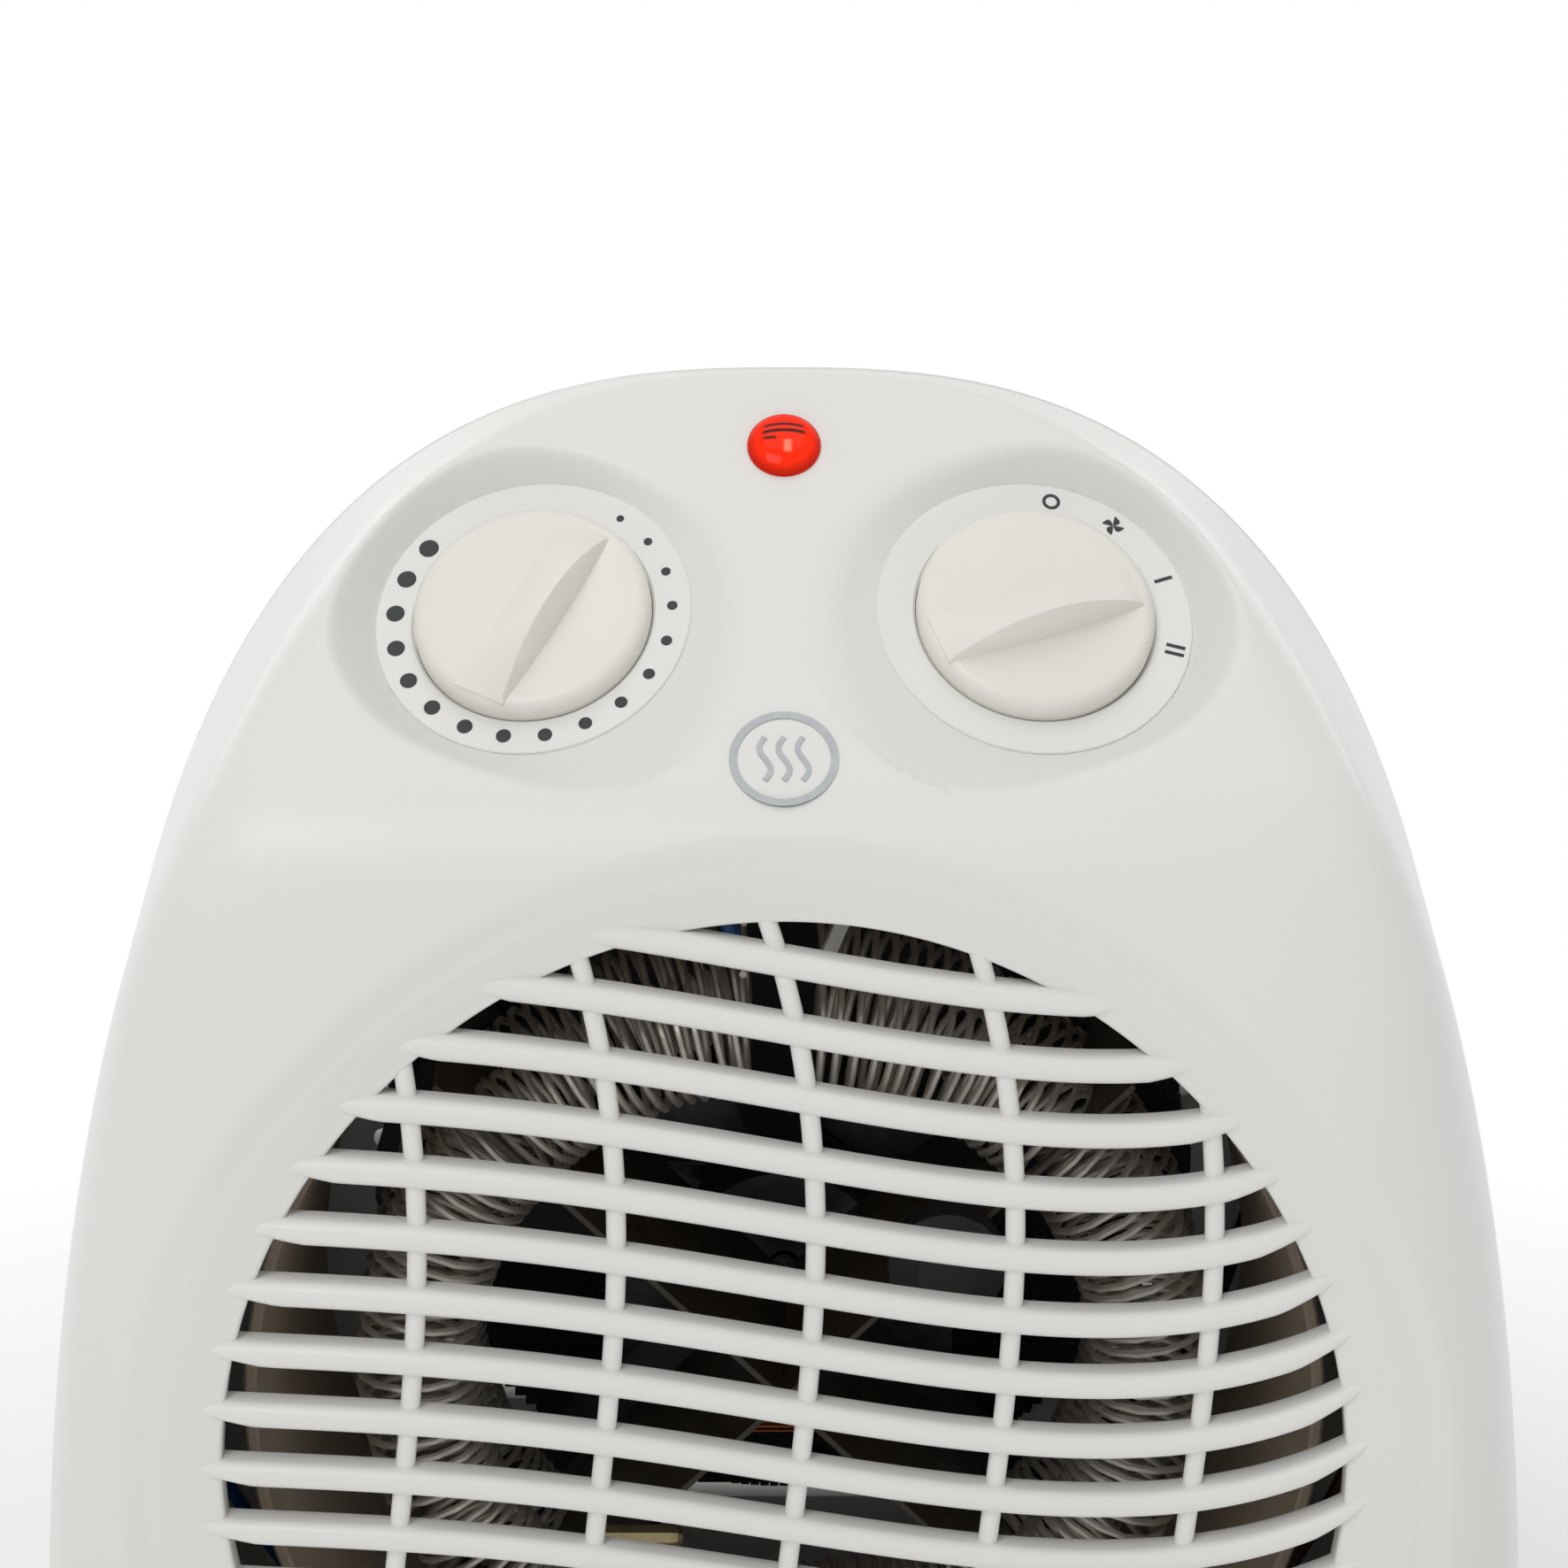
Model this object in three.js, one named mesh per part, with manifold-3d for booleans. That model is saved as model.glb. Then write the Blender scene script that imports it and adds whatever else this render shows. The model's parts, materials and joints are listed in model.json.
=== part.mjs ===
// Upright fan convector heater: a moulded two-part casing with a slanted control panel on top, a round
// outlet with a wavy grille, ring-shaped heating coils on crossed mica plates, and an axial fan behind.
// Millimetres. +Z is up, -Y is the front, +X is the right-hand side seen from the front.
// The origin is on the floor, below the middle of the casing.
import * as THREE from 'three';
import { mergeVertices } from 'three/addons/utils/BufferGeometryUtils.js';
import Module from 'manifold-3d';

const wasm = await Module();
wasm.setup();

// ---------------------------------------------------------------- driving dimensions
const casingWidth = 206;          // at the base
const casingDepth = 120;          // lowest front face to rear face
const casingHeight = 244.4;       // base wall to the top of the casing
const wall = 2.4;                 // casing wall
const fitGap = 0.3;               // between pieces that touch
const footHeight = 3;             // casing base above the floor
const splitDepth = 78;            // front cover's depth, where the rear cover starts
const archPower = 2.65;           // squareness of the front outline across
const archRise = 3.2;             // and upwards
const cornerDepths = [45, 24];    // how far back the sides reach full width, low down and beside the panel
const cornerPowers = [5, 10];     // squareness of the front's vertical corners there
const cornerHeights = [150, 215]; // the corners change between these heights above the base
const rearPower = 5;              // squareness of the rear cover's edges
const rearLean = 0.055;           // share by which the rear cover narrows on its way back
const rearTaper = 0.09;           // further narrowing by its rounded rear edge
const crownKeep = 0.35;           // share of that rounding which its height is spared

const leanStart = 96;             // height at which the front begins to lean back, above the base
const leanRadius = 312;           // radius of the leaning front in side view
const browHeight = 192;           // where the front turns into the panel, above the base
const browRadius = 27;            // radius of that turn
const panelLean = THREE.MathUtils.degToRad(52.2); // panel's lean from upright
const crownRadius = 4.4;          // radius of the edge between the panel and the top of the casing

const outletRadius = 75;          // grille opening
const outletHeight = 112;         // its centre above the base
const dishTop = 88;               // outer edge of the sunk ring above the outlet's centre
const dishWidth = 90;             // half width of the sunk ring at its widest
const dishFoot = 12;              // its lower end above the base
const dishArch = 1.93;            // squareness of its upper half
const dishSquare = 4;             // and of its lower half
const dishStep = 3.2;             // depth of the soft step at its edge
const dishStepWidth = 5;
const dishRimDepth = 6;           // depth of the ring at the opening

const barPitch = 8.52;
const barTop = 69.8;              // highest bar's middle above the outlet's centre
const barHeight = 3.9;
const barDepth = 5.2;
const barSink = 4.6;              // bar's front face below the casing's front surface
const barOverlap = 5.5;           // length of each bar end that dies into the sunk ring
const barWave = [13.1, -0.5, -10, -3.4];          // drop in mm by powers of x over the outlet radius
const ribPitch = 26.3;
const ribOffset = 1.95;
const ribWidth = 2.9;
const ribSink = 6.2;
const ribDepth = 3.4;
const ribWave = [8, -3, -7.5, -1.7];

const dialSide = 33.95;           // dial centres left and right of the middle
const dialRise = 110;             // above the outlet's centre
const dialTilt = THREE.MathUtils.degToRad(6.75);  // dials lean outwards
const dialRadius = 20.5;          // flat printed ring
const dialSink = 4;
const wellSlope = 1.1;            // widening of the well per mm of its height
const knobRadius = 16;
const knobRim = 3;                // knob's edge above the dial
const knobClearance = 0.5;        // between the knob and its seat, all round
const knobWellRadius = knobRadius + knobClearance;   // round seat below the knob
const knobWellDepth = 2;
const ridgeHeight = 5.5;
const ridgeFoot = 4.8;            // foot of the ridge's wall, right of the knob's middle
const ridgeCrest = 4.3;           // its crest
const ridgeCrease = 2.9;          // where its slope starts, left of the middle
const thermostatRest = 29;        // degrees clockwise from straight up the panel, before the smallest dot
const modeRest = 67.6;            // at the first heat setting
const spindleRadius = 3;
const spindleReach = 16;          // below the dial
const thermostatHeight = 14;      // regulator bodies behind the panel
const switchHeight = 18;

const neonRise = 125.2;
const neonRadius = 5;
const lensLip = 1.1;              // its flange beyond its stem
const lensStem = 6;               // its stem behind the panel
const lensSeat = 1.2;             // the flange's seat below the panel
const badgeRise = 94.9;
const badgeRadius = 7.2;
const badgeThickness = 0.3;

const ductRadius = 72;            // outlet duct, inside, at its front
const ductThroat = 66;            // inside, at its rear
const ductFront = 27;             // behind the lowest front face
const ductRear = 76;
const ductWall = 1.8;
const ductFlange = 6;             // flange round its rear end
const entrySide = 9;              // holes at its top for the heater's two leads
const coilRing = 50.7;            // radius of the ring that each coil runs on
const coilRadius = 8.2;           // radius of one turn
const coilDepths = [40, 58];      // behind the front face
const coilTurns = 28;             // coarse: the fine winding has several times as many
const wireRadius = 0.55;
const micaThickness = 0.8;
const micaMargin = 2.5;           // plate beyond the coils, front and rear
const micaReach = 66.3;           // half length of each plate, just inside the duct
const fanRadius = 61;
const fanDepth = 78;              // middle of the impeller behind the front face
const fanWidth = 13;
const fanBlades = 5;
const bladePitch = [0.75, 0.42];  // radians, at the hub and at the tip
const bladeChord = [14, 30];
const hubRadius = 15;
const shaftRadius = 2;
const statorSize = 50;
const statorDepth = 100;          // middle of the stator behind the front face
const statorThickness = 12;
const statorFoot = 30;            // the coil's leg of the stack, below the shaft
const rotorRadius = 12;
const rotorGap = 0.5;
const bracketOffset = 10.5;       // each bearing bracket's distance from the stator's middle
const bracketThickness = 1.5;
const bearingRadius = 4;
const statorLeg = 5;              // height of the leg that the coil goes round
const windingDrop = 6;            // coil below the stack
const postSpacing = 40;           // between the two motor screws
const motorScrew = 1.1;

const screwHead = 3.6;
const screwShank = 1.6;
const screwReach = 17;            // cover screw's length inside the front cover
const screwSeat = 5;              // its head's seat behind the split
const bossRadius = 5;
const bossLength = 29;
const webHalf = 0.9;
const slotPitch = 8.5;
const slotHeight = 2.2;
const slotTilt = THREE.MathUtils.degToRad(42);    // the slots rise on their way out, like louvres
const slotField = 62;             // radius of the round field of slots
const uprightSide = 21;           // the two uprights across the slots
const uprightHalf = 2;
const shortestSlot = 6;
const footRadius = 8;
const plugRadius = 2.2;           // foot's plug through the base
const glandSide = -62;            // cord gland, seen from the front
const glandHeight = 22;           // above the base
const glandRadius = 6;            // its hole in the rear cover
const glandProud = 3;             // its collar behind the rear face
const blockSize = [28, 12, 13.6]; // terminal block
const blockSide = -48;
const blockDepth = 101;           // its middle behind the front face
const leadRadius = 1.1;           // insulated inner wires

// ---------------------------------------------------------------- frame helpers
const frontY = -(casingDepth + glandProud) / 2;
const splitY = frontY + splitDepth;
const rearY = frontY + casingDepth;
const baseZ = footHeight;
const outletZ = baseZ + outletHeight;
const halfWidth = casingWidth / 2;
const behind = (depth) => frontY + depth;
const blend = (a, b, t) => a + (b - a) * t;

const group = new THREE.Group();

/** Adds one named solid to the model, with its own material. */
function addNode(name, geometry, color, roughness = 0.5, metalness = 0) {
  const material = new THREE.MeshStandardMaterial({ color, roughness, metalness });
  const mesh = new THREE.Mesh(geometry, material);
  mesh.name = name;
  group.add(mesh);
  return mesh;
}

/** Six times the volume enclosed by an indexed geometry, negative when it is inside out. */
function signedVolume(geometry) {
  const p = geometry.getAttribute('position');
  const index = geometry.getIndex();
  const a = new THREE.Vector3();
  const b = new THREE.Vector3();
  const c = new THREE.Vector3();
  let sum = 0;
  for (let i = 0; i < index.count; i += 3) {
    a.fromBufferAttribute(p, index.getX(i));
    b.fromBufferAttribute(p, index.getX(i + 1));
    c.fromBufferAttribute(p, index.getX(i + 2));
    sum += a.dot(b.cross(c));
  }
  return sum;
}

/** Skins a row of rings, each a list of [x, y, z] points; closed joins the last ring to the first. */
function skin(rings, closed = false) {
  const count = rings[0].length;
  const points = rings.flat(2);
  const index = [];
  const quad = (a, b, c, d) => index.push(a, b, c, a, c, d);
  const last = closed ? rings.length : rings.length - 1;
  for (let r = 0; r < last; r++) {
    const next = (r + 1) % rings.length;
    for (let k = 0; k < count; k++) {
      const l = (k + 1) % count;
      quad(r * count + k, r * count + l, next * count + l, next * count + k);
    }
  }
  if (!closed) {
    for (let k = 1; k < count - 1; k++) {
      const end = (rings.length - 1) * count;
      index.push(0, k + 1, k, end, end + k, end + k + 1);
    }
  }
  const geometry = new THREE.BufferGeometry();
  geometry.setAttribute('position', new THREE.Float32BufferAttribute(points, 3));
  geometry.setIndex(index);
  if (signedVolume(geometry) < 0) geometry.setIndex(index.reverse());
  return geometry;
}

/** A closed three.js geometry as a manifold-3d solid. */
function solid(geometry) {
  let g = geometry.clone();
  g.deleteAttribute('normal');
  g.deleteAttribute('uv');
  g = mergeVertices(g, 1e-4);
  const mesh = new wasm.Mesh({
    numProp: 3,
    vertProperties: new Float32Array(g.getAttribute('position').array),
    triVerts: new Uint32Array(g.getIndex().array),
  });
  return new wasm.Manifold(mesh);
}

/** A manifold-3d solid as a three.js geometry. */
function geometryOf(body) {
  const mesh = body.getMesh();
  const geometry = new THREE.BufferGeometry();
  geometry.setAttribute('position', new THREE.BufferAttribute(Float32Array.from(mesh.vertProperties), 3));
  geometry.setIndex(new THREE.BufferAttribute(Uint32Array.from(mesh.triVerts), 1));
  return geometry;
}

const box = (x0, x1, y0, y1, z0, z1) => new THREE.BoxGeometry(x1 - x0, y1 - y0, z1 - z0)
  .translate((x0 + x1) / 2, (y0 + y1) / 2, (z0 + z1) / 2);

/** A turned piece: profile points are [radius, distance along the axis]; the axis is +Z. */
function turned(profile, segments = 24) {
  const points = profile.map(([r, h]) => new THREE.Vector2(r, h));
  return new THREE.LatheGeometry(points, segments).rotateX(Math.PI / 2);
}

/** Turns a piece made along +Z so that its axis runs to the rear (+Y), starting at the given point. */
const alongY = (geometry, x, y, z) => geometry.rotateX(-Math.PI / 2).translate(x, y, z);

const rod = (r, y0, y1, x, z, segments = 12) =>
  alongY(turned([[0, 0], [r, 0], [r, y1 - y0], [0, y1 - y0]], segments), x, y0, z);

const tubeY = (r0, r1, y0, y1, x, z, segments = 24) =>
  alongY(turned([[r0, 0], [r1, 0], [r1, y1 - y0], [r0, y1 - y0], [r0, 0]], segments), x, y0, z);

// ---------------------------------------------------------------- shape of the casing
/** Half width of the casing at a height above the base. */
function halfWidthAt(h) {
  const share = Math.min(Math.max(h / casingHeight, 0), 1);
  return halfWidth * (1 - share ** archRise) ** (1 / archPower);
}

/** Depth of the front's middle line behind its lowest part, at a height above the base. */
function profileDepth(h) {
  const browAngle = Math.asin((browHeight - leanStart) / leanRadius);
  const browDepth = leanRadius * (1 - Math.cos(browAngle));
  const panelHeight = browHeight + browRadius * (Math.sin(panelLean) - Math.sin(browAngle));
  const panelDepth = browDepth + browRadius * (Math.cos(browAngle) - Math.cos(panelLean));
  if (h <= leanStart) return 0;
  if (h <= browHeight) return leanRadius * (1 - Math.cos(Math.asin((h - leanStart) / leanRadius)));
  if (h <= panelHeight) {
    const angle = Math.asin(Math.sin(browAngle) + (h - browHeight) / browRadius);
    return browDepth + browRadius * (Math.cos(browAngle) - Math.cos(angle));
  }
  const turn = Math.PI / 2 - panelLean;
  if (h <= casingHeight - crownRadius * (1 - Math.cos(turn))) {
    return panelDepth + (h - panelHeight) * Math.tan(panelLean);
  }
  const edgeDepth = panelDepth + (casingHeight - panelHeight) * Math.tan(panelLean);
  const rise = Math.min(h, casingHeight) - casingHeight + crownRadius;
  return edgeDepth + crownRadius * Math.tan(turn / 2) - Math.sqrt(crownRadius ** 2 - rise ** 2);
}

/** Depth of the front surface behind its lowest part at x and a height above the base. */
function frontDepth(x, h) {
  const middle = profileDepth(h);
  const [low, high] = cornerHeights;
  const change = THREE.MathUtils.smoothstep(h, low, high);
  const power = blend(...cornerPowers, change);
  const side = Math.min(middle + blend(...cornerDepths, change), splitDepth);
  const share = Math.min(Math.abs(x) / Math.max(halfWidthAt(h), 0.001), 1);
  return middle + (side - middle) * (1 - (1 - share ** power) ** (1 / power));
}

const frontAt = (x, z) => frontY + frontDepth(x, z - baseZ);

/** Casing outline in front view, as [x, z, outward x, outward z], from the right base corner round. */
function outline() {
  const points = [];
  const arch = 40;
  for (let i = 0; i <= arch; i++) {
    const a = Math.PI * i / arch;
    const c = Math.cos(a);
    const x = Math.sign(c) * halfWidth * Math.abs(c) ** (2 / archPower);
    points.push([x, baseZ + casingHeight * Math.sin(a) ** (2 / archRise)]);
  }
  const floor = 12;
  for (let i = 1; i < floor; i++) points.push([-halfWidth * Math.cos(Math.PI * i / floor), baseZ]);
  return points;
}

/** Edge of the sunk ring at an angle round the outlet: an arch above, a squarer shape down to the base. */
function dishEdge(angle) {
  const c = Math.cos(angle);
  const s = Math.sin(angle);
  const reach = s >= 0 ? dishTop : outletHeight - dishFoot;
  const power = s >= 0 ? dishArch : dishSquare;
  const r = ((Math.abs(c) / dishWidth) ** power + (Math.abs(s) / reach) ** power) ** (-1 / power);
  return [r * c, outletZ + r * s];
}

/** Moves each point of a ring grid inwards, square to the surface, by the given distance. */
function offsetRows(rows, distance) {
  const count = rows[0].length;
  const at = (r, k) => {
    const row = rows[Math.min(Math.max(r, 0), rows.length - 1)];
    return new THREE.Vector3(...row[(k + count) % count]);
  };
  return rows.map((row, r) => row.map((point, k) => {
    const across = at(r, k + 1).sub(at(r, k - 1));
    const along = at(r + 1, k).sub(at(r - 1, k));
    const normal = along.cross(across).normalize();
    return new THREE.Vector3(...point).addScaledVector(normal, distance).toArray();
  }));
}

/** Outer rings of the front cover, from its rear edge forwards, over the front and into the outlet. */
function frontRows() {
  const edge = outline();
  const shares = [1, 0.98, 0.92, 0.8, 0.62, 0.42, 0.2, 0];
  const rows = [edge.map(([x, z]) => [x, splitY - fitGap / 2, z])];
  const angles = edge.map(([x, z]) => Math.atan2(z - outletZ, x));
  for (const share of shares) {
    rows.push(edge.map(([x, z], k) => {
      const [bx, bz] = dishEdge(angles[k]);
      const px = blend(bx, x, share);
      const pz = blend(bz, z, share);
      return [px, Math.min(frontAt(px, pz), splitY - fitGap), pz];
    }));
  }
  const ring = (radius, sink) => rows.push(angles.map((a, k) => {
    const px = radius(k) * Math.cos(a);
    const pz = outletZ + radius(k) * Math.sin(a);
    return [px, frontAt(px, pz) + sink, pz];
  }));
  const edgeRadius = (k) => Math.hypot(dishEdge(angles[k])[0], dishEdge(angles[k])[1] - outletZ);
  ring((k) => edgeRadius(k) - dishStepWidth, dishStep);
  ring(() => outletRadius, dishRimDepth);
  return rows;
}

/** The front cover's shell: its outer rings and the same rings set inwards. */
function frontShell() {
  const rows = frontRows();
  const inner = offsetRows(rows, wall);
  inner.forEach((row) => row.forEach((point) => { point[1] = Math.min(point[1], splitY - fitGap / 2); }));
  inner[0] = inner[0].map(([x, , z]) => [x, splitY - fitGap / 2, z]);
  return skin([...rows, ...inner.reverse()], true);
}

const waveOf = (terms, t) => terms.reduce((sum, term, i) => sum + term * t ** (i + 1), 0);

/** One wavy bar across the outlet. */
function outletBar(height) {
  const reach = Math.sqrt(Math.max(outletRadius ** 2 - height ** 2, 0));
  const steps = Math.max(5, Math.round(reach / 8));
  const march = 0.5;
  const lineAt = (x) => outletZ + height - waveOf(barWave, x / outletRadius);
  const inside = (x) => Math.hypot(x, lineAt(x) - outletZ) < outletRadius + barOverlap;
  let left = -reach - barOverlap;
  let right = reach + barOverlap;
  while (!inside(left)) left += march;
  while (inside(left - march)) left -= march;
  while (!inside(right)) right -= march;
  while (inside(right + march)) right += march;
  const half = barHeight / 2;
  const section = [[-half, barDepth], [-half * 0.7, 0], [half * 0.7, 0], [half, barDepth]];
  const rings = [];
  for (let i = 0; i <= steps; i++) {
    const x = blend(left, right, i / steps);
    const z = lineAt(x);
    const y = frontAt(x, z) + barSink;
    rings.push(section.map(([dz, dy]) => [x, y + dy, z + dz]));
  }
  return skin(rings);
}

/** One upright rib behind the bars. */
function outletRib(side) {
  const steps = 7;
  const reach = Math.sqrt(outletRadius ** 2 - side ** 2) + 2;
  const half = ribWidth / 2;
  const rings = [];
  for (let i = 0; i <= steps; i++) {
    const h = blend(-reach, reach, i / steps);
    const x = side + waveOf(ribWave, h / outletRadius);
    const y = frontAt(x, outletZ + h) + ribSink;
    rings.push([[x - half, y, outletZ + h], [x - half, y + ribDepth, outletZ + h],
      [x + half, y + ribDepth, outletZ + h], [x + half, y, outletZ + h]]);
  }
  return skin(rings);
}

// ---------------------------------------------------------------- dials on the panel
/** A frame on the panel: +Z along its outward normal, +Y up the slope. */
function panelFrame(x, rise, sink, tilt = 0) {
  const z = outletZ + rise;
  const normal = new THREE.Vector3(Math.sin(tilt) * Math.sign(x),
    -Math.cos(tilt) * Math.cos(panelLean), Math.cos(tilt) * Math.sin(panelLean));
  const origin = new THREE.Vector3(x, frontAt(x, z), z).addScaledVector(normal, -sink);
  const right = new THREE.Vector3(1, 0, 0).addScaledVector(normal, -normal.x).normalize();
  const up = new THREE.Vector3().crossVectors(normal, right);
  return new THREE.Matrix4().makeBasis(right, up, normal).setPosition(origin);
}

const dialFrames = [panelFrame(-dialSide, dialRise, dialSink, dialTilt),
  panelFrame(dialSide, dialRise, dialSink, dialTilt)];
const neonFrame = panelFrame(0, neonRise, 0);
const badgeFrame = panelFrame(0, badgeRise, 0);

/** The cup below each dial: what is added behind the panel, and what is cut away in front of it. */
function dialCup(frame) {
  const cupDepth = knobWellDepth + wall;
  const cupRadius = knobWellRadius + wall;
  const ringRadius = dialRadius + 2.2 * wall;
  const lip = 2;
  const high = 9;
  const bush = spindleRadius + 1.5;
  const cup = turned([[0, -cupDepth], [cupRadius, -cupDepth], [cupRadius, -wall], [ringRadius, -wall],
    [ringRadius, lip], [0, lip]], 30);
  const cut = turned([[0, -knobWellDepth], [knobWellRadius, -knobWellDepth], [knobWellRadius, 0],
    [dialRadius, 0], [dialRadius + wellSlope * high, high], [0, high]], 30);
  const hole = turned([[0, -cupDepth * 2], [bush, -cupDepth * 2], [bush, 0], [0, 0]], 12);
  return [cup, cut, hole].map((g) => solid(g.applyMatrix4(frame)));
}

/** The stepped hole in the panel for the neon lens. */
function neonSeat() {
  const stem = neonRadius - lensLip + fitGap;
  const mouth = neonRadius + fitGap;
  const hole = turned([[0, -8], [stem, -8], [stem, -lensSeat], [mouth, -lensSeat], [mouth, 6], [0, 6]], 24);
  return solid(hole.applyMatrix4(neonFrame));
}

const bossPlaces = [[-82, 18], [82, 18], [-80, 128], [80, 128]];

/** Screw bosses inside the front cover, each carried on a web from the side wall. */
function frontBosses() {
  const rear = splitY - fitGap / 2;
  return bossPlaces.map(([x, h]) => {
    const z = baseZ + h;
    const side = Math.sign(x) * (halfWidthAt(h) - wall / 2);
    const web = box(Math.min(x, side), Math.max(x, side), rear - bossLength, rear, z - webHalf, z + webHalf);
    return [solid(rod(bossRadius, rear - bossLength, rear, x, z, 16)).add(solid(web)),
      solid(rod(screwShank + fitGap, rear - screwReach - 1, splitY + 1, x, z, 10))];
  });
}

const footPlaces = [[-82, 26], [82, 26], [-82, 104], [82, 104]];

const footHoles = (front) => footPlaces.filter(([, depth]) => (depth < splitDepth) === front)
  .map(([x, depth]) => solid(turned([[0, -2], [plugRadius + 2 * fitGap, -2],
    [plugRadius + 2 * fitGap, wall + 2], [0, wall + 2]], 12).translate(x, frontY + depth, baseZ)));

function frontCover() {
  let body = solid(frontShell());
  for (let i = 0; barTop - i * barPitch > -outletRadius + 2; i++) {
    body = body.add(solid(outletBar(barTop - i * barPitch)));
  }
  for (let j = -2; j <= 2; j++) body = body.add(solid(outletRib(ribOffset + j * ribPitch)));
  const cups = dialFrames.map(dialCup);
  const hull = solid(skin(frontRows()));
  for (const [cup] of cups) body = body.add(cup.intersect(hull));
  for (const [, cut, hole] of cups) body = body.subtract(cut).subtract(hole);
  body = body.subtract(neonSeat());
  for (const [boss, bore] of frontBosses()) body = body.add(boss).subtract(bore);
  for (const hole of footHoles(true)) body = body.subtract(hole);
  return geometryOf(body);
}

// ---------------------------------------------------------------- rear cover
/** Rings of the rear cover's outline from the split to the rear face, inside it by a margin. */
function rearRings(margin) {
  const depth = casingDepth - splitDepth;
  const shape = outline();
  const rings = [];
  const shares = [0, 0.35, 0.6, 0.8, 0.93, 1];
  for (const share of shares) {
    const lean = 1 - rearLean * share;
    const round = (1 - (1 - share ** rearPower) ** (1 / rearPower)) * rearTaper;
    const y = splitY + fitGap / 2 + (depth - fitGap / 2 - margin) * share;
    rings.push(shape.map(([x, z]) => {
      const sx = x * (lean - round) * (halfWidth - margin) / halfWidth;
      const fit = (casingHeight - margin * 1.6) / casingHeight;
      const height = (z - baseZ) * fit * (lean - round * (1 - crownKeep));
      return [sx, y, baseZ + Math.max(height, margin)];
    }));
  }
  return rings;
}

/** Hand recess high on the back, heights above the base. */
const recess = { half: 38, low: 179, high: 203, depth: 16 };

function recessBox(margin, front, rear) {
  const { half, low, high } = recess;
  return solid(box(-half - margin, half + margin, front, rear, baseZ + low - margin, baseZ + high + margin));
}

/** The inlet's slots: rows across a round field, each broken by the two uprights. */
function inletSlots() {
  const slots = [];
  const rows = Math.floor(slotField / slotPitch);
  for (let i = -rows; i <= rows; i++) {
    const height = i * slotPitch;
    const reach = Math.sqrt(slotField ** 2 - height ** 2);
    const z = outletZ + height;
    const near = uprightSide - uprightHalf;
    const far = uprightSide + uprightHalf;
    for (const [low, high] of [[-reach, -far], [-near, near], [far, reach]]) {
      const x0 = Math.max(low, -reach);
      const x1 = Math.min(high, reach);
      if (x1 - x0 < shortestSlot) continue;
      const slot = box(x0, x1, -wall - 2, wall + 2, -slotHeight / 2, slotHeight / 2);
      slots.push(solid(slot.rotateX(slotTilt).translate(0, rearY - wall / 2, z)));
    }
  }
  return slots;
}

/** Posts that stand forward from the rear wall: two for the motor, four for the outlet duct. */
function rearPosts() {
  const motorEnd = behind(statorDepth) + bracketOffset + bracketThickness + fitGap;
  const ductEnd = behind(ductRear) + fitGap;
  const reach = (ductThroat + ductWall + ductFlange / 2) * Math.SQRT1_2;
  const posts = [-1, 1].map((side) => rod(4, motorEnd, rearY - 1, side * postSpacing / 2, outletZ, 12));
  for (const [sx, sz] of [[-1, -1], [1, -1], [-1, 1], [1, 1]]) {
    posts.push(rod(3, ductEnd, rearY - 1, sx * reach, outletZ + sz * reach, 10));
  }
  return posts.map(solid);
}

function rearCover() {
  const outer = solid(skin(rearRings(0)));
  const rings = rearRings(wall);
  rings.unshift(rings[0].map(([x, , z]) => [x, splitY - 1, z]));
  let body = outer.subtract(solid(skin(rings)));
  body = body.add(recessBox(wall, rearY - recess.depth - wall, rearY - 1).intersect(outer));
  body = body.subtract(recessBox(0, rearY - recess.depth, rearY + 5));
  for (const slot of inletSlots()) body = body.subtract(slot);
  for (const post of rearPosts()) body = body.add(post);
  for (const [x, h] of bossPlaces) {
    const z = baseZ + h;
    body = body.add(solid(rod(bossRadius + 0.5, splitY + fitGap / 2, rearY - 1.5, x, z, 16)));
    body = body.subtract(solid(rod(screwShank + fitGap, splitY - 1, rearY, x, z, 10)));
    body = body.subtract(solid(rod(screwHead + 0.4, splitY + screwSeat, rearY + 3, x, z, 12)));
  }
  for (const side of [-1, 1]) {
    const x = side * postSpacing / 2;
    body = body.subtract(solid(rod(motorScrew + 0.4, behind(statorDepth), rearY - wall - 1, x, outletZ, 8)));
  }
  body = body.subtract(solid(rod(glandRadius, rearY - 12, rearY + 2, glandSide, baseZ + glandHeight, 20)));
  for (const hole of footHoles(false)) body = body.subtract(hole);
  return geometryOf(body);
}

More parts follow.
